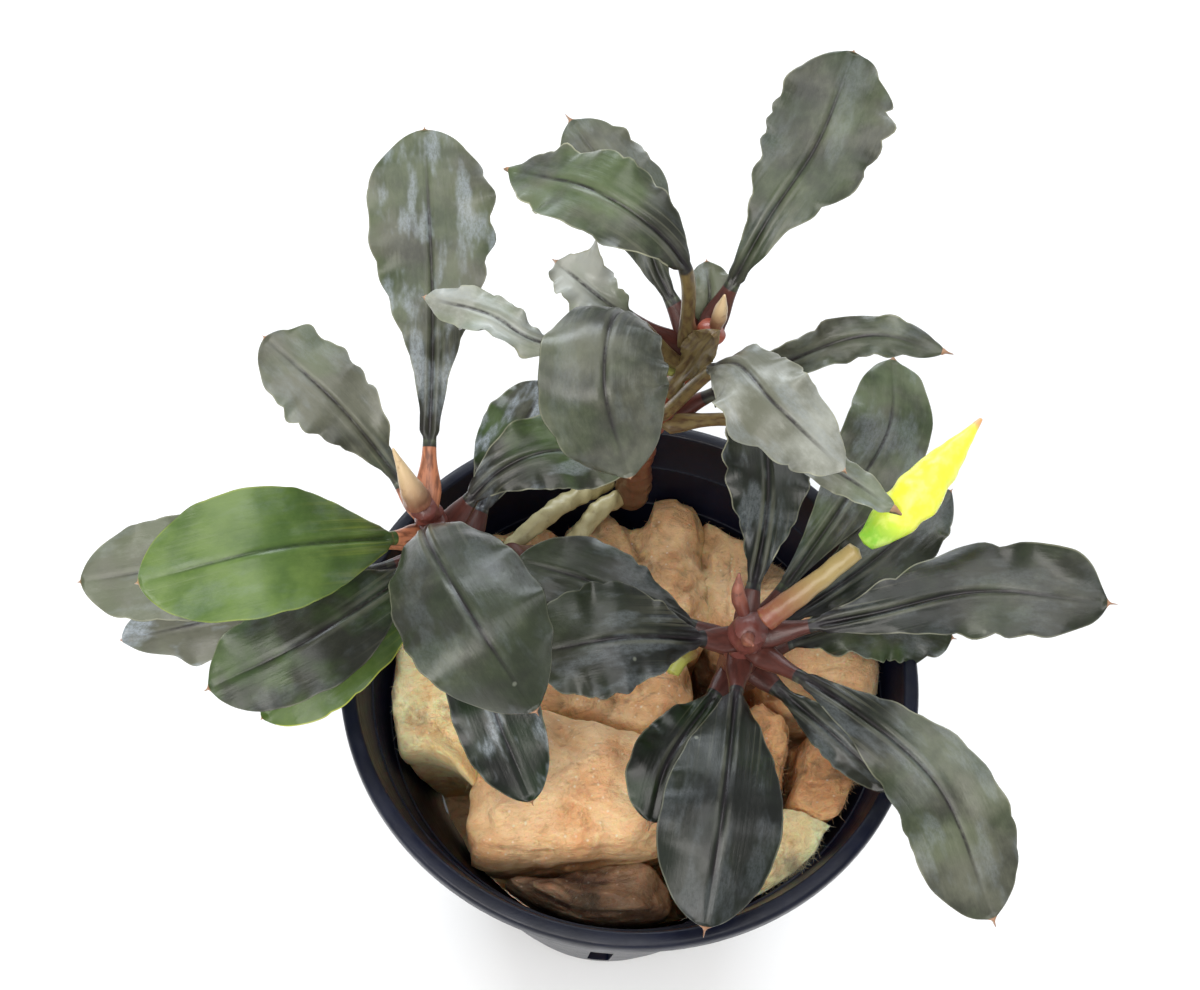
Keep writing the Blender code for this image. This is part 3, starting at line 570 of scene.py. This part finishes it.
def leaf_piece(name, shape, number, skins):
    """A thin blade with a grooved midrib, ruffled margins and a pointed tip, on a petiole into its stem."""
    length, share, u, centre, t, s, up = leaf_course(name.split("_")[0], shape)
    run = share[:, None] * length

    # Columns, close together at the midrib and the margins: over the upper side, then back below
    spread_out = np.linspace(-1, 1, LEAF_COLUMNS)
    upper = np.sign(spread_out) * 0.5 * (1 - np.cos(np.pi * np.abs(spread_out)))
    across = np.concatenate([upper, upper[-2:0:-1]])
    top = np.concatenate([np.ones(LEAF_COLUMNS), -np.ones(LEAF_COLUMNS - 2)])
    v, u2 = across[None], u[:, None]
    right = (across > 0).astype(int)

    # Half the width, with its lobes and notches, and the thin point
    half_width = 0.5 * shape["width"]
    width = blade_width(u, shape["widest"], shape["slim"], shape["taper"])[:, None]
    seed = 3.1 * number
    lobes = margin_noise(u, LOBE_CYCLES, seed)[:, right]
    notches = margin_noise(u, NOTCH_CYCLES, seed + 50)[:, right]
    scallop = 1 + shape["scallop"] * (2 * np.abs(lobes) - 0.45 + 0.4 * notches)
    sheath = swell(run, SHEATH_WIDTH, 0, SHEATH_LENGTH)
    half = np.maximum(PETIOLE_RADIUS * (1 - 0.5 * u2) + sheath, half_width * width * scallop)
    blade_end = share[-TIP_ROWS - 1]
    tip_share = np.clip((share - blade_end) / (share[-1] - blade_end), 0, 1)[:, None]
    point = half[-TIP_ROWS - 1] * (1 - tip_share) ** 7 + TIP_RADIUS * (1 - 0.7 * tip_share)
    half = np.where(tip_share > 0, point, half)

    # The section: round in the petiole, thin in the blade, with the midrib's groove and keel
    spread = np.clip(half_width * width / (2 * PETIOLE_RADIUS), 0, 1) * np.ones_like(v)
    thick = PETIOLE_RADIUS + (0.5 * LEAF_THICKNESS - PETIOLE_RADIUS) * spread
    thick = thick * (1 - 0.75 * tip_share)
    off = np.abs(v) * half
    round_edge = np.sqrt(np.clip(1 - v**2, 0, 1))
    flat_edge = (1 - np.abs(v) ** 6) * (1 - 0.45 * np.abs(v))
    body = top * thick * (round_edge * (1 - spread) + flat_edge * spread)
    veins = VEIN_HEIGHT * np.cos(math.tau * (off - RIDGE[1]) / VEIN_SPACING) * np.exp(-off / VEIN_REACH)
    above = swell(off, *GROOVE) + swell(off, *RIDGE) + veins * np.clip(0.75 - u2, 0, 1)
    body = body + spread * np.clip(1.2 - u2, 0, 1) * np.where(top > 0, above, swell(off, *KEEL))

    # The lift of its halves: cupped, waved, rolled at the margins and puckered
    swing = np.sin(math.tau * shape["waves"] * u2 + 1.7 * number + 1.3 * right[None])
    edge = half / half_width
    lift = shape["cup"] * half * np.abs(v) ** 1.6 + shape["wave"] * swing * v**2 * edge
    rolls = 1.4 * lobes + 0.4 * margin_noise(u, ROLL_CYCLES, seed + 30)[:, right]
    lift = lift + shape["ruffle"] * np.abs(v) ** 3 * edge * rolls
    spots = [[Vector((x * 0.45, y * 0.33, seed)) for x in row] for row, y in zip(v * half, run[:, 0])]
    puckers = np.array([[noise.noise(spot) for spot in row] for row in spots])
    lift = (lift + PUCKER * puckers * edge) * spread * (1 - tip_share)
    rings = centre[:, None] + s[:, None] * (v * half)[..., None] + up[:, None] * (body + lift)[..., None]

    ones = np.ones_like(half * v)
    place = np.stack([v * half, (run + 40 * number) * ones, top * ones], -1)
    marks = {
        "place": with_ends(place, place[0, 0], place[-1, 0]),
        "off": with_ends(off, 0, 0),
        "margin": with_ends((half - off) * spread + 9 * (1 - spread), 9, 0),
        "blade": with_ends(np.where(spread > 0.3, u2, -1 + share[:, None] / shape["petiole"]) * ones, -1, 1),
        "under": with_ends(0.5 - 0.5 * top * ones, 0, 0),
    }
    points = with_ends(rings, centre[0], centre[-1] + t[-1] * 0.05)
    for key in ("tone", "painted_sheen", "rim", "green", "bare", "fade"):
        marks[key] = np.full(len(points), shape[key])
    marks["stalk"] = np.tile(shape["stalk"], (len(points), 1))
    slot = shape["slot"]
    faces = skin_faces(len(rings), rings.shape[1])
    add_piece(name + "_blade", points, faces, skins[slot], [name], marks)


def leaf_material(name, deep, middle, pale, foot, edge):
    """Satin leaf: darker towards its foot, with bluish painted sheen, fine specks and a thin pale margin."""
    made = Finish(name, deep, 0.36, Specular_IOR_Level=0.36, Coat_Weight=0.13, Coat_Roughness=0.22,
                  Coat_IOR=1.45)
    place, world = made.mark("place", "Vector"), made.place()
    blade, off, margin, under = (made.mark(key) for key in ("blade", "off", "margin", "under"))
    patches = made.noise(world, 190, 3, 0.55)
    tone = made.math("ADD", made.mark("tone"), made.ramp(patches, 0.28, 0.72, -0.19, 0.19))
    dusk = made.times(made.ramp(blade, 0.62, 0.02), made.mark("fade"))
    tone = made.math("SUBTRACT", tone, dusk)
    mottle = made.grain(place, (1.2, 0.7, 1), 1.6, 5, 0.7)
    tone = made.math("ADD", tone, made.ramp(mottle, 0.35, 0.75, -0.04, 0.06))
    made.paint(middle, made.ramp(tone, 0, 0.5))
    made.paint(pale, made.ramp(tone, 0.45, 1))
    # Tones above one lay a silvery grey over the whole leaf: a painted sheen
    made.paint((0.42, 0.43, 0.38), made.ramp(tone, 1, 1.6))
    leafy = made.ramp(made.noise(world, 120, 3, 0.6), 0.4, 0.6)
    fresh = made.mix(made.ramp(tone, 0, 1), (0.008, 0.022, 0.004), (0.09, 0.15, 0.04))
    made.paint(fresh, leafy, made.mark("green"))
    # Long lines run out of the foot on both sides of the midrib
    lines = made.grain(place, (2.1, 0.03, 1), 1, 2, 0.5)
    line_share = made.ramp(blade, 0.55, 0.06, 0, 0.8)
    made.paint(edge, made.ramp(lines, 0.55, 0.62), line_share, 0.22)
    made.paint(deep, made.ramp(lines, 0.46, 0.34), line_share, 0.4)
    # The painted sheen lies in soft bluish patches of painted reflection with grainy edges, strongest beside
    # the midrib
    sheen = made.grain(place, (0.42, 0.15, 1), 1, 3, 0.55)
    grains = made.grain(place, (2.2, 1.1, 1), 2.4, 5, 0.75)
    grainy = made.ramp(grains, 0.34, 0.62, 0.4, 1)
    made.paint((0.31, 0.35, 0.38), made.ramp(sheen, 0.49, 0.62), grainy, made.mark("painted_sheen"))
    # The midrib is a dark groove between two pale ridges: painted shade in the groove, and painted highlight
    # on the ridges where the sheen pattern falls
    ridge = made.times(made.ramp(off, 0.22, 0.38), made.ramp(off, 0.8, 0.46))
    made.paint(pale, ridge, made.ramp(blade, 0.95, 0.3, 0, 0.5), made.ramp(sheen, 0.35, 0.6))
    groove = made.times(made.ramp(off, 0.26, 0.06), made.ramp(blade, 0.98, 0.7))
    made.paint(foot, groove, made.ramp(mottle, 0.35, 0.6, 0.4, 0.85))
    made.paint((0.36, 0.38, 0.3), made.specks(world, 520, (0.14, 0.05), (0.955, 0.975)), 0.3)
    # The foot is purple black, the margin thin and pale in places, and the tip rusty
    made.paint(foot, made.ramp(blade, 0.2, 0, 0, 0.7))
    broken = made.times(made.ramp(patches, 0.38, 0.58, 0.25, 1), made.mark("rim"))
    made.paint(edge, made.ramp(margin, 0.17, 0.07), broken)
    made.paint((0.44, 0.22, 0.12), made.ramp(blade, 0.992, 1, 0, 0.7))
    beneath = made.mix(0.35, middle, (0.17, 0.15, 0.11))
    made.paint(beneath, under, 0.8)
    stalk = made.mark("stalk", "Color")
    streaks = made.grain(place, (2.6, 0.5, 1), 1, 4)
    stalk = made.mix(made.ramp(streaks, 0.4, 0.66, 0, 0.7), stalk, (0.05, 0.018, 0.014))
    stalked = made.math("MAXIMUM", made.ramp(blade, 0, 0.03, 1, 0), made.mark("bare"))
    made.paint(stalk, stalked)
    normal = made.bump(lines, 0.00008, 0.5)
    fine = made.grain(place, (3, 1.4, 1), 1, 4, 0.6)
    normal = made.bump(fine, 0.00005, 0.5, normal)
    rough = made.ramp(made.noise(world, 420, 4, 0.7), 0.3, 0.75, 0.28, 0.44)
    return made.finish(normal, rough)


def add_leaves():
    skins = {slot: leaf_material(slot + "_skin", *colours) for slot, colours in LEAF_SKINS.items()}
    for number, (name, shape) in enumerate(LEAVES.items()):
        leaf_piece(name, shape, number, skins)


def bar_piece(name, points, radii, material, replaced, rough, rows=60, sides=28):
    """A round stalk along a smooth curve, with small uneven rings."""
    line = smooth_curve(points, rows)
    along, across = carried_sides(line, (0.31, -0.87, 0.38))
    ups = np.cross(across, along)
    share = np.linspace(0, 1, rows)
    radius = np.interp(share, np.linspace(0, 1, len(radii)), radii)
    turns = math.tau * np.arange(sides) / sides
    ring = np.cos(turns)[None, :, None] * across[:, None] + np.sin(turns)[None, :, None] * ups[:, None]
    uneven = np.array([[noise.noise(Vector(0.9 * p + q)) for q in row] for p, row in zip(line, ring)])
    grown = radius[:, None] * (1 + rough * 2 * uneven)
    rings = line[:, None] + ring * grown[..., None]
    points = with_ends(rings, line[0] - along[0] * radius[0] * 0.3, line[-1] + along[-1] * radius[-1] * 0.4)
    marks = {"along": with_ends(share[:, None] * np.ones(sides), 0, 1)}
    add_piece(name, points, skin_faces(rows, sides), material, replaced, marks)


def stalk_material(name, foot, tip, spots):
    """A smooth fleshy stalk that changes colour from foot to tip, with darker flecks."""
    made = Finish(name, foot, 0.42, Coat_Weight=0.25, Coat_Roughness=0.2)
    world = made.place()
    made.paint(tip, made.ramp(made.mark("along"), 0, 0.75))
    flecks = made.noise(world, 900, 5, 0.7)
    made.paint(spots, made.ramp(flecks, 0.52, 0.74, 0, 0.7))
    lines = made.grain(world, (1, 1, 0.25), 3500, 3)
    made.paint(tip, made.ramp(lines, 0.5, 0.8, 0, 0.25))
    return made.finish(made.bump(lines, 0.00008, 0.6))


def add_stalks():
    skins = {name: stalk_material(name, *colours) for name, colours in STALK_SKINS.items()}
    for name, (points, foot_radius, tip_radius) in STEMS.items():
        thinner = tip_radius - foot_radius
        rings = range(STEM_RINGS + 1)
        radii = [foot_radius + thinner * k / STEM_RINGS + RING_HEIGHT * (k % 2) for k in rings]
        skin = skins["bright_crown_skin" if name == "back" else "crown_skin"]
        bar_piece(name + "_rhizome", points, radii, skin, [name + "_stem"], 0.1, 110, 40)
    for name, (skin, slot, points, radii) in BARS.items():
        rough = 0.16 if "runner" in name else 0.05
        bar_piece(name + "_skin", points, radii, skins[skin], [name], rough)


def add_spathe():
    """The young spathe: a folded hood, green at its foot, bright yellow, and rusty at its point."""
    made = Finish("spathe_skin", (0.24, 0.52, 0.03), 0.38, Coat_Weight=0.2, Coat_Roughness=0.25,
                  Subsurface_Weight=0.3, Subsurface_Scale=0.0015)
    along = made.mark("along")
    made.paint((0.9, 0.95, 0.06), made.ramp(along, 0.06, 0.34))
    ribs = made.grain(made.place(), (1, 1, 0.6), 900, 4)
    made.paint((0.97, 0.98, 0.3), made.ramp(ribs, 0.45, 0.7, 0, 0.35))
    made.paint((0.55, 0.72, 0.04), made.ramp(ribs, 0.46, 0.3, 0, 0.2))
    made.paint((0.72, 0.4, 0.16), made.ramp(along, 0.9, 0.97))
    skin = made.finish(made.bump(ribs, 0.0001, 0.5))
    bar_piece("spathe_hood", SPATHE_POINTS, SPATHE_RADII, skin, ["spathe"], 0.06, 80, 40)


def pot_outer(height):
    """The outside radius of the pot's wall below the lip."""
    return BASE_RADIUS + (RIM_RADIUS - LIP_OVERHANG - BASE_RADIUS) * height / POT_HEIGHT


def pot_inner(height):
    """The inside radius of the pot's wall, which steps in at each ledge."""
    steps = sum(LEDGE_DEPTH for ledge in LEDGE_HEIGHTS if height < ledge)
    return pot_outer(height) - WALL - steps


def arc(centre, radius, first, last, count):
    """Points of a profile's round corner, from one angle to another in degrees."""
    turns = np.radians(np.linspace(first, last, count))
    return [(centre[0] + radius * math.cos(a), centre[1] + radius * math.sin(a)) for a in turns]


def pot_profile():
    lip_foot = POT_HEIGHT - LIP_DROP
    outside = [(0, BASE_HOLLOW), (BASE_RADIUS - 2.4, BASE_HOLLOW)]
    outside += [(BASE_RADIUS - 2, 0), (BASE_RADIUS - 0.7, 0)]
    outside += arc((BASE_RADIUS - 0.6, 0.6), 0.6, -80, -5, 4)
    outside += [(pot_outer(h), h) for h in (8, 16, 24, 32, 40, lip_foot - 0.15)]
    outside += arc((RIM_RADIUS - 0.3, lip_foot + 0.3), 0.3, -90, 0, 3)
    outside += arc((RIM_RADIUS - 0.5, POT_HEIGHT - 0.5), 0.5, 10, 90, 5)
    inner_lip = RIM_RADIUS - LIP_WIDTH
    inside = arc((inner_lip + 0.35, POT_HEIGHT - 0.35), 0.35, 90, 180, 4)
    for ledge in LEDGE_HEIGHTS:
        inside += [(pot_inner(ledge + 0.01), ledge + 0.12), (pot_inner(ledge + 0.01) - 0.1, ledge)]
        inside += [(pot_inner(ledge - 0.01) + 0.05, ledge - 0.02), (pot_inner(ledge - 0.01), ledge - 0.15)]
    inside += [(pot_inner(h), h) for h in (30, 20, 10, FLOOR + 0.4)]
    inside += [(pot_inner(FLOOR) - 0.4, FLOOR), (0, FLOOR)]
    return outside + inside


def slots_cutter():
    """Upright slots round the lower wall and round holes through the floor, as one cutter."""
    form = bmesh.new()
    middle = (SLOT_BOTTOM + SLOT_TOP) / 2
    for k in range(SLOT_COUNT):
        turn = Matrix.Rotation(math.tau * (k + 0.5) / SLOT_COUNT, 4, "Z")
        place = Matrix.Translation((pot_outer(middle) * MM, 0, middle * MM))
        size = Matrix.Diagonal((7 * MM, SLOT_WIDTH * MM, (SLOT_TOP - SLOT_BOTTOM) * MM, 1))
        bmesh.ops.create_cube(form, size=1, matrix=turn @ place @ size)
    bmesh.ops.bevel(form, geom=form.edges[:], offset=0.4 * MM, segments=3, affect="EDGES", profile=0.5)
    for k in range(DRAIN_COUNT):
        turn = Matrix.Rotation(math.tau * (k + 0.25) / DRAIN_COUNT, 4, "Z")
        place = turn @ Matrix.Translation((DRAIN_CIRCLE * MM, 0, 0))
        round_bar = dict(radius1=DRAIN_RADIUS * MM, radius2=DRAIN_RADIUS * MM, depth=6 * MM)
        bmesh.ops.create_cone(form, cap_ends=True, segments=32, matrix=place, **round_bar)
    return meshed("pot_cutter", form)


def pot_material():
    """Black moulded plastic: slightly glossy, with fine grain and rubbed marks."""
    made = Finish("pot_plastic", (0.001, 0.002, 0.009), 0.36, Specular_IOR_Level=0.35)
    world = made.place()
    haze = made.noise(world, 140, 5, 0.6)
    made.paint((0.005, 0.007, 0.021), made.ramp(haze, 0.35, 0.75))
    rubbed = made.grain(world, (1, 1, 6), 420, 6, 0.75)
    made.paint((0.045, 0.045, 0.06), made.ramp(rubbed, 0.6, 0.78, 0, 0.35))
    grain = made.noise(world, 4200, 3)
    rough = made.ramp(rubbed, 0.3, 0.8, 0.28, 0.55)
    return made.finish(made.bump(grain, 0.00004, 0.35), rough)


def add_pot():
    form = bmesh.new()
    profile = [form.verts.new((r * MM, 0, z * MM)) for r, z in pot_profile()]
    edges = [form.edges.new(pair) for pair in zip(profile, profile[1:])]
    spin = dict(axis=(0, 0, 1), cent=(0, 0, 0), angle=math.tau, steps=POT_SIDES)
    bmesh.ops.spin(form, geom=profile + edges, use_merge=True, **spin)
    bmesh.ops.remove_doubles(form, verts=form.verts, dist=1e-7)
    bmesh.ops.recalc_face_normals(form, faces=form.faces)
    pot = meshed("pot_shell", form)
    cutter = slots_cutter()
    cut = pot.modifiers.new("slots and drain holes", "BOOLEAN")
    cut.operation = "DIFFERENCE"
    cut.object = cutter
    graph = bpy.context.evaluated_depsgraph_get()
    solid = bpy.data.meshes.new_from_object(pot.evaluated_get(graph))
    pot.modifiers.clear()
    pot.data = solid
    bpy.data.objects.remove(cutter)
    solid.materials.clear()
    solid.materials.append(pot_material())
    solid.shade_smooth()
    solid.set_sharp_from_angle(angle=math.radians(32))
    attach(pot, "root")
    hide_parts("pot")


def shrink(height):
    """How much narrower the pot is at a height than at its rim."""
    return pot_inner(height) / pot_inner(POT_HEIGHT)


def reach(name, angles, height, clear):
    """How far a chunk goes from its middle each way, up to its neighbours, the wall, a stem or a gap."""
    ahead = np.stack([np.cos(angles), np.sin(angles)], 1)
    middle = np.array(CHUNKS[name][0]) * shrink(height)
    limits = []
    pull = CHUNKS[name][2]
    for other, _, other_pull in CHUNKS.values():
        between = np.array(other) * shrink(height) - middle
        apart = np.linalg.norm(between)
        if apart > 0:
            facing = ahead @ between / apart
            border = apart * pull / (pull + other_pull) - GAP / 2
            limits.append(np.where(facing > 0, border / np.maximum(facing, 1e-6), np.inf))
    radius = pot_inner(height) - clear
    along = ahead @ middle
    limits.append(-along + np.sqrt(along**2 - middle @ middle + radius**2))
    stems = [(points[0][:2], thick + STEM_CLEARANCE) for points, thick, _ in STEMS.values()]
    gaps = [(np.array(place) * shrink(height), wide) for place, wide in WOOL_GAPS]
    for place, wide in stems + gaps:
        to_place = np.subtract(place, middle)
        near = ahead @ to_place
        miss = np.abs(ahead[:, 1] * to_place[0] - ahead[:, 0] * to_place[1])
        blocked = near - np.sqrt(np.maximum(wide**2 - miss**2, 0))
        limits.append(np.where((near > 0) & (miss < wide), blocked, np.inf))
    return np.sum([limit**-CHUNK_CORNER for limit in limits], 0) ** (-1 / CHUNK_CORNER)


def wool_material(name, pale, warm, hollow_shade, run=(0.55, 1, 1.6)):
    """Wet stone wool: matted, warm and pale in patches, brown with painted shade in its hollows, with painted
    glints.
    """
    made = Finish(name, warm, 0.55, Specular_IOR_Level=0.4, Coat_Weight=0.08, Coat_Roughness=0.16,
                  Subsurface_Weight=0.5, Subsurface_Scale=0.0018)
    world = made.place()
    patches = made.noise(world, 150, 3, 0.5, 0.6)
    made.paint(pale, made.ramp(patches, 0.36, 0.64))
    # Long curved streaks, as the wool was torn along its mat: painted highlight on their ridges and painted
    # shade in their creases, and the same on the fine threads
    bent = made.grain(world, run, 420, 5, 0.62, 1.6)
    made.paint(lighter(pale, 1.25), made.ramp(bent, 0.5, 0.68, 0, 0.45))
    made.paint(hollow_shade, made.ramp(bent, 0.46, 0.3, 0, 0.5))
    threads = made.grain(world, tuple(3 * c for c in run), 1100, 5, 0.7, 0.8)
    made.paint(hollow_shade, made.ramp(threads, 0.47, 0.26, 0, 0.45))
    made.paint(lighter(pale, 1.2), made.ramp(threads, 0.54, 0.7, 0, 0.5))
    # Painted shade: brown in the hollows and down the lower sides of each lump
    made.paint(hollow_shade, made.ramp(made.mark("depth"), 0.25, 0.95, 0, 0.95))
    # Painted glints: small pale spots standing in for wet highlights
    made.paint((0.98, 0.9, 0.74), made.specks(world, 1900, (0.34, 0.1), (0.84, 0.88)), 0.5)
    normal = made.bump(bent, 0.0007, 0.6)
    normal = made.bump(threads, 0.0003, 0.8, normal)
    normal = made.bump(made.noise(world, 1500, 4, 0.65), 0.00022, 0.5, normal)
    rough = made.ramp(made.noise(world, 700, 4, 0.7), 0.35, 0.7, 0.3, 0.75)
    return made.finish(normal, rough)


def fibre_mesh(starts, normals, count, rng, length, thick, lie):
    """Thin curved fibres with pointed ends, as points and faces of three-sided bars."""
    pick = rng.integers(0, len(starts), count)
    start, normal = starts[pick], normals[pick]
    spin = unit(np.cross(normal, rng.normal(size=(count, 3))))
    heading = unit(spin + normal * rng.uniform(lie[0], lie[1], (count, 1)))
    bend = unit(rng.normal(size=(count, 3))) * rng.uniform(0.1, 0.6, (count, 1))
    long = rng.uniform(length[0], length[1], (count, 1))
    start = start + normal * rng.uniform(-0.12, 0.02, (count, 1))
    stations = []
    for k in range(4):
        square = (k / 3) ** 2
        bent = start + heading * long * k / 3 + bend * long * square * 0.5
        stations.append(bent - normal * long * square * 0.25)
    side = unit(np.cross(heading, normal))
    over = np.cross(side, heading)
    wide = rng.uniform(thick[0], thick[1], (count, 1))
    rows = [stations[0]]
    for centre in stations[1:3]:
        for k in range(3):
            turn = math.tau * k / 3
            rows.append(centre + (side * math.cos(turn) + over * math.sin(turn)) * wide)
    rows.append(stations[3])
    points = np.stack(rows, 1)
    one = [(0, 2, 1), (0, 3, 2), (0, 1, 3), (1, 2, 5), (1, 5, 4), (2, 3, 6), (2, 6, 5), (3, 1, 4), (3, 4, 6)]
    one += [(4, 5, 7), (5, 6, 7), (6, 4, 7)]
    faces = (np.arange(count)[:, None, None] * 8 + np.array(one)).reshape(-1, 3)
    return points.reshape(-1, 3), faces


def torn_wool(at, grain):
    """How far torn wool stands out at a point, and how much painted shade it takes as a hollow."""
    wide = noise.noise(at * SWELL_RATE)
    lump = noise.fractal(at * LUMP_RATE + Vector((9, 4, 0)), 1, 2, 2)
    across = at.x * grain.x + at.y * grain.y
    torn = TEAR_RATE * across + 1.1 * noise.noise(at * TEAR_RATE + grain) + 0.25 * lump
    step = torn - math.floor(torn)
    layer = step if step < LAYER_RISE else (1 - step) * LAYER_RISE / LAYER_FALL
    tuft = noise.fractal(at * TUFT_RATE, 0.8, 2.1, 4)
    raised = 1.8 * wide + 1 * lump + 0.45 * (layer - 0.5) + 0.14 * tuft
    return raised, 0.26 - 0.35 * wide - 0.35 * lump - 0.3 * (layer - 0.3) - 0.35 * tuft


def chunk_rings(name, number, rng):
    """Rings of a torn lump in its place between its neighbours, and how much painted shade each point takes.
    """
    middle, top, _ = CHUNKS[name]
    bottom = BED_TOP + GAP
    levels = SQUARE_PROFILE if name in SQUARE_CHUNKS else CHUNK_PROFILE
    profile = smooth_curve([(*level, 0) for level in levels], CHUNK_ROWS)[:-1, :2]
    angles = math.tau * np.arange(CHUNK_SIDES) / CHUNK_SIDES
    tilt = Vector((rng.uniform(-0.08, 0.08), rng.uniform(-0.08, 0.08), 0))
    grain = Vector((*unit(rng.normal(size=2)), number * 3))
    rings, hollow_shades = [], []
    for rise, scale in profile:
        height = bottom + (top - bottom) * min(rise, 1)
        clear = WALL_CLEARANCE + WALL_DRAW.get(name, USUAL_DRAW) * rise**4
        press = CHUNK_PRESS.get(name, USUAL_PRESS) * rise
        far = (reach(name, angles, height, clear) + press) * max(scale, 0.02)
        x, y = np.array(middle) * shrink(height)
        ring = np.stack([x + far * np.cos(angles), y + far * np.sin(angles), np.full(CHUNK_SIDES, height)], 1)
        shaped, depth = [], []
        for p in ring:
            at = Vector(p)
            raised, hollow_shade = torn_wool(at, grain)
            out = at - Vector((x, y, height - 9))
            slope = (at - Vector((x, y, 0))).dot(tilt)
            moved = out.normalized() * raised * min(1, rise * 2)
            shaped.append(at + moved + Vector((0, 0, slope * rise)))
            depth.append(hollow_shade)
        rings.append(np.array(shaped))
        # Painted shade grows down the lower sides of the lump
        hollow_shades.append(np.array(depth) + 1.1 * max(0, 0.9 - rise))
    return np.array(rings), np.clip(np.array(hollow_shades), 0, 1)


def chunk_piece(name, material, number):
    """A torn lump of stone wool, rough and matted, with loose fibres."""
    rng = np.random.default_rng(300 + number)
    rings, hollow_shades = chunk_rings(name, number, rng)
    bottom = BED_TOP + GAP
    start = (*np.array(CHUNKS[name][0]) * shrink(bottom), bottom)
    points = with_ends(rings, start, rings[-1].mean(0))
    faces = skin_faces(len(rings), CHUNK_SIDES)
    shades = with_ends(hollow_shades, 1, hollow_shades[-1].mean())

    # Loose fibres over the upper part of the lump: long ones that lie flat and short ones that stand up
    upper = len(rings) // 2
    patch = rings[upper:].reshape(-1, 3)
    down = np.roll(rings, 1, axis=0)[upper:] - rings[upper:]
    turn = np.roll(rings, -1, axis=1)[upper:] - rings[upper:]
    normals = unit(np.cross(turn, -down) + 1e-9).reshape(-1, 3)
    flat = dict(length=(0.4, 1.4), thick=(0.01, 0.022), lie=(-0.04, 0.13))
    standing = dict(length=(0.3, 0.8), thick=(0.006, 0.012), lie=(0.3, 0.9))
    hairs, hair_faces = fibre_mesh(patch, normals, FIBRES_A_CHUNK, rng, **flat)
    tufts, tuft_faces = fibre_mesh(patch, normals, FIBRES_A_CHUNK // 4, rng, **standing)
    add_piece(name + "_mat", points, faces, material, [name], {"depth": shades})
    loose = np.concatenate([hairs, tufts])
    loose_faces = np.concatenate([hair_faces, tuft_faces + len(hairs)]).tolist()
    shade = np.repeat(rng.uniform(0, 0.5, len(loose) // 8), 8)
    add_piece(name + "_fibres", loose, loose_faces, material, [], {"depth": shade})


def add_bed(material):
    """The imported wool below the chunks, with an uneven side."""
    rings = []
    turns = math.tau * np.arange(BED_SIDES) / BED_SIDES
    for height in np.linspace(FLOOR + GAP, BED_TOP, BED_ROWS):
        spots = [Vector((6 * math.cos(a), 6 * math.sin(a), height * 0.3)) for a in turns]
        bumps = np.array([noise.fractal(spot, 1, 2, 4) for spot in spots])
        far = pot_inner(height) - WALL_CLEARANCE - 0.35 + 0.35 * bumps
        rings.append(np.stack([far * np.cos(turns), far * np.sin(turns), np.full(BED_SIDES, height)], 1))
    points = with_ends(np.array(rings), (0, 0, FLOOR + GAP), (0, 0, BED_TOP))
    # Half dark all over: painted shade, as the bed lies under the chunks
    shade = np.full(len(points), 0.45)
    faces = skin_faces(len(rings), BED_SIDES)
    add_piece("wool_bed_mat", points, faces, material, ["wool_bed"], {"depth": shade})


def add_wool():
    skins = {name: wool_material(name, *colours) for name, colours in WOOL_SKINS.items()}
    for number, name in enumerate(CHUNKS):
        chunk_piece(name, skins[CHUNK_SKINS.get(name, "wool_tan")], number)
    add_bed(skins["wool_tan"])


def add_camera():
    data = bpy.data.cameras.new("view")
    data.sensor_width = 36
    data.lens = FOCAL_PIXELS * data.sensor_width / IMAGE_WIDTH
    data.clip_start = 0.005
    camera = link("view", data)
    place, target = Vector(CAMERA_PLACE) * MM, Vector(CAMERA_TARGET) * MM
    turn = (target - place).to_track_quat("-Z", "Y")
    roll = Matrix.Rotation(math.radians(CAMERA_ROLL), 4, "Z")
    camera.matrix_world = Matrix.Translation(place) @ turn.to_matrix().to_4x4() @ roll
    bpy.context.scene.camera = camera


def add_light(name, place, target, size, watts, colour):
    data = bpy.data.lights.new(name, "AREA")
    data.shape = "RECTANGLE"
    data.size, data.size_y = size
    data.energy = watts
    data.color = colour
    lamp = link(name, data)
    lamp.location = place
    lamp.rotation_euler = (Vector(target) - Vector(place)).to_track_quat("-Z", "Y").to_euler()


def add_studio():
    """A pale floor, an even pale surround and soft lamps."""
    mesh = bpy.data.meshes.new("floor")
    corners = [(FLOOR_SIDE * x, FLOOR_SIDE * y, 0) for x, y in ((-1, -1), (1, -1), (1, 1), (-1, 1))]
    mesh.from_pydata(corners, [], [(0, 1, 2, 3)])
    made = Finish("floor_paint", (0.9, 0.9, 0.9), 0.9)
    made.paint((0.93, 0.93, 0.93), made.noise(made.place(), 30))
    mesh.materials.append(made.finish())
    floor = link("floor", mesh)
    world = bpy.data.worlds.new("surround")
    bpy.context.scene.world = world
    world.use_nodes = True
    world.node_tree.nodes["Background"].inputs[0].default_value = SURROUND
    world.node_tree.nodes["Background"].inputs[1].default_value = SURROUND_STRENGTH
    for name, lamp in LAMPS.items():
        add_light(name, *lamp)
    view = bpy.context.scene.view_settings
    view.view_transform = "Standard"
    view.look = "None"
    view.exposure = 0


def main():
    add_camera()
    add_studio()
    add_pot()
    add_wool()
    add_stalks()
    add_spathe()
    add_leaves()


main()
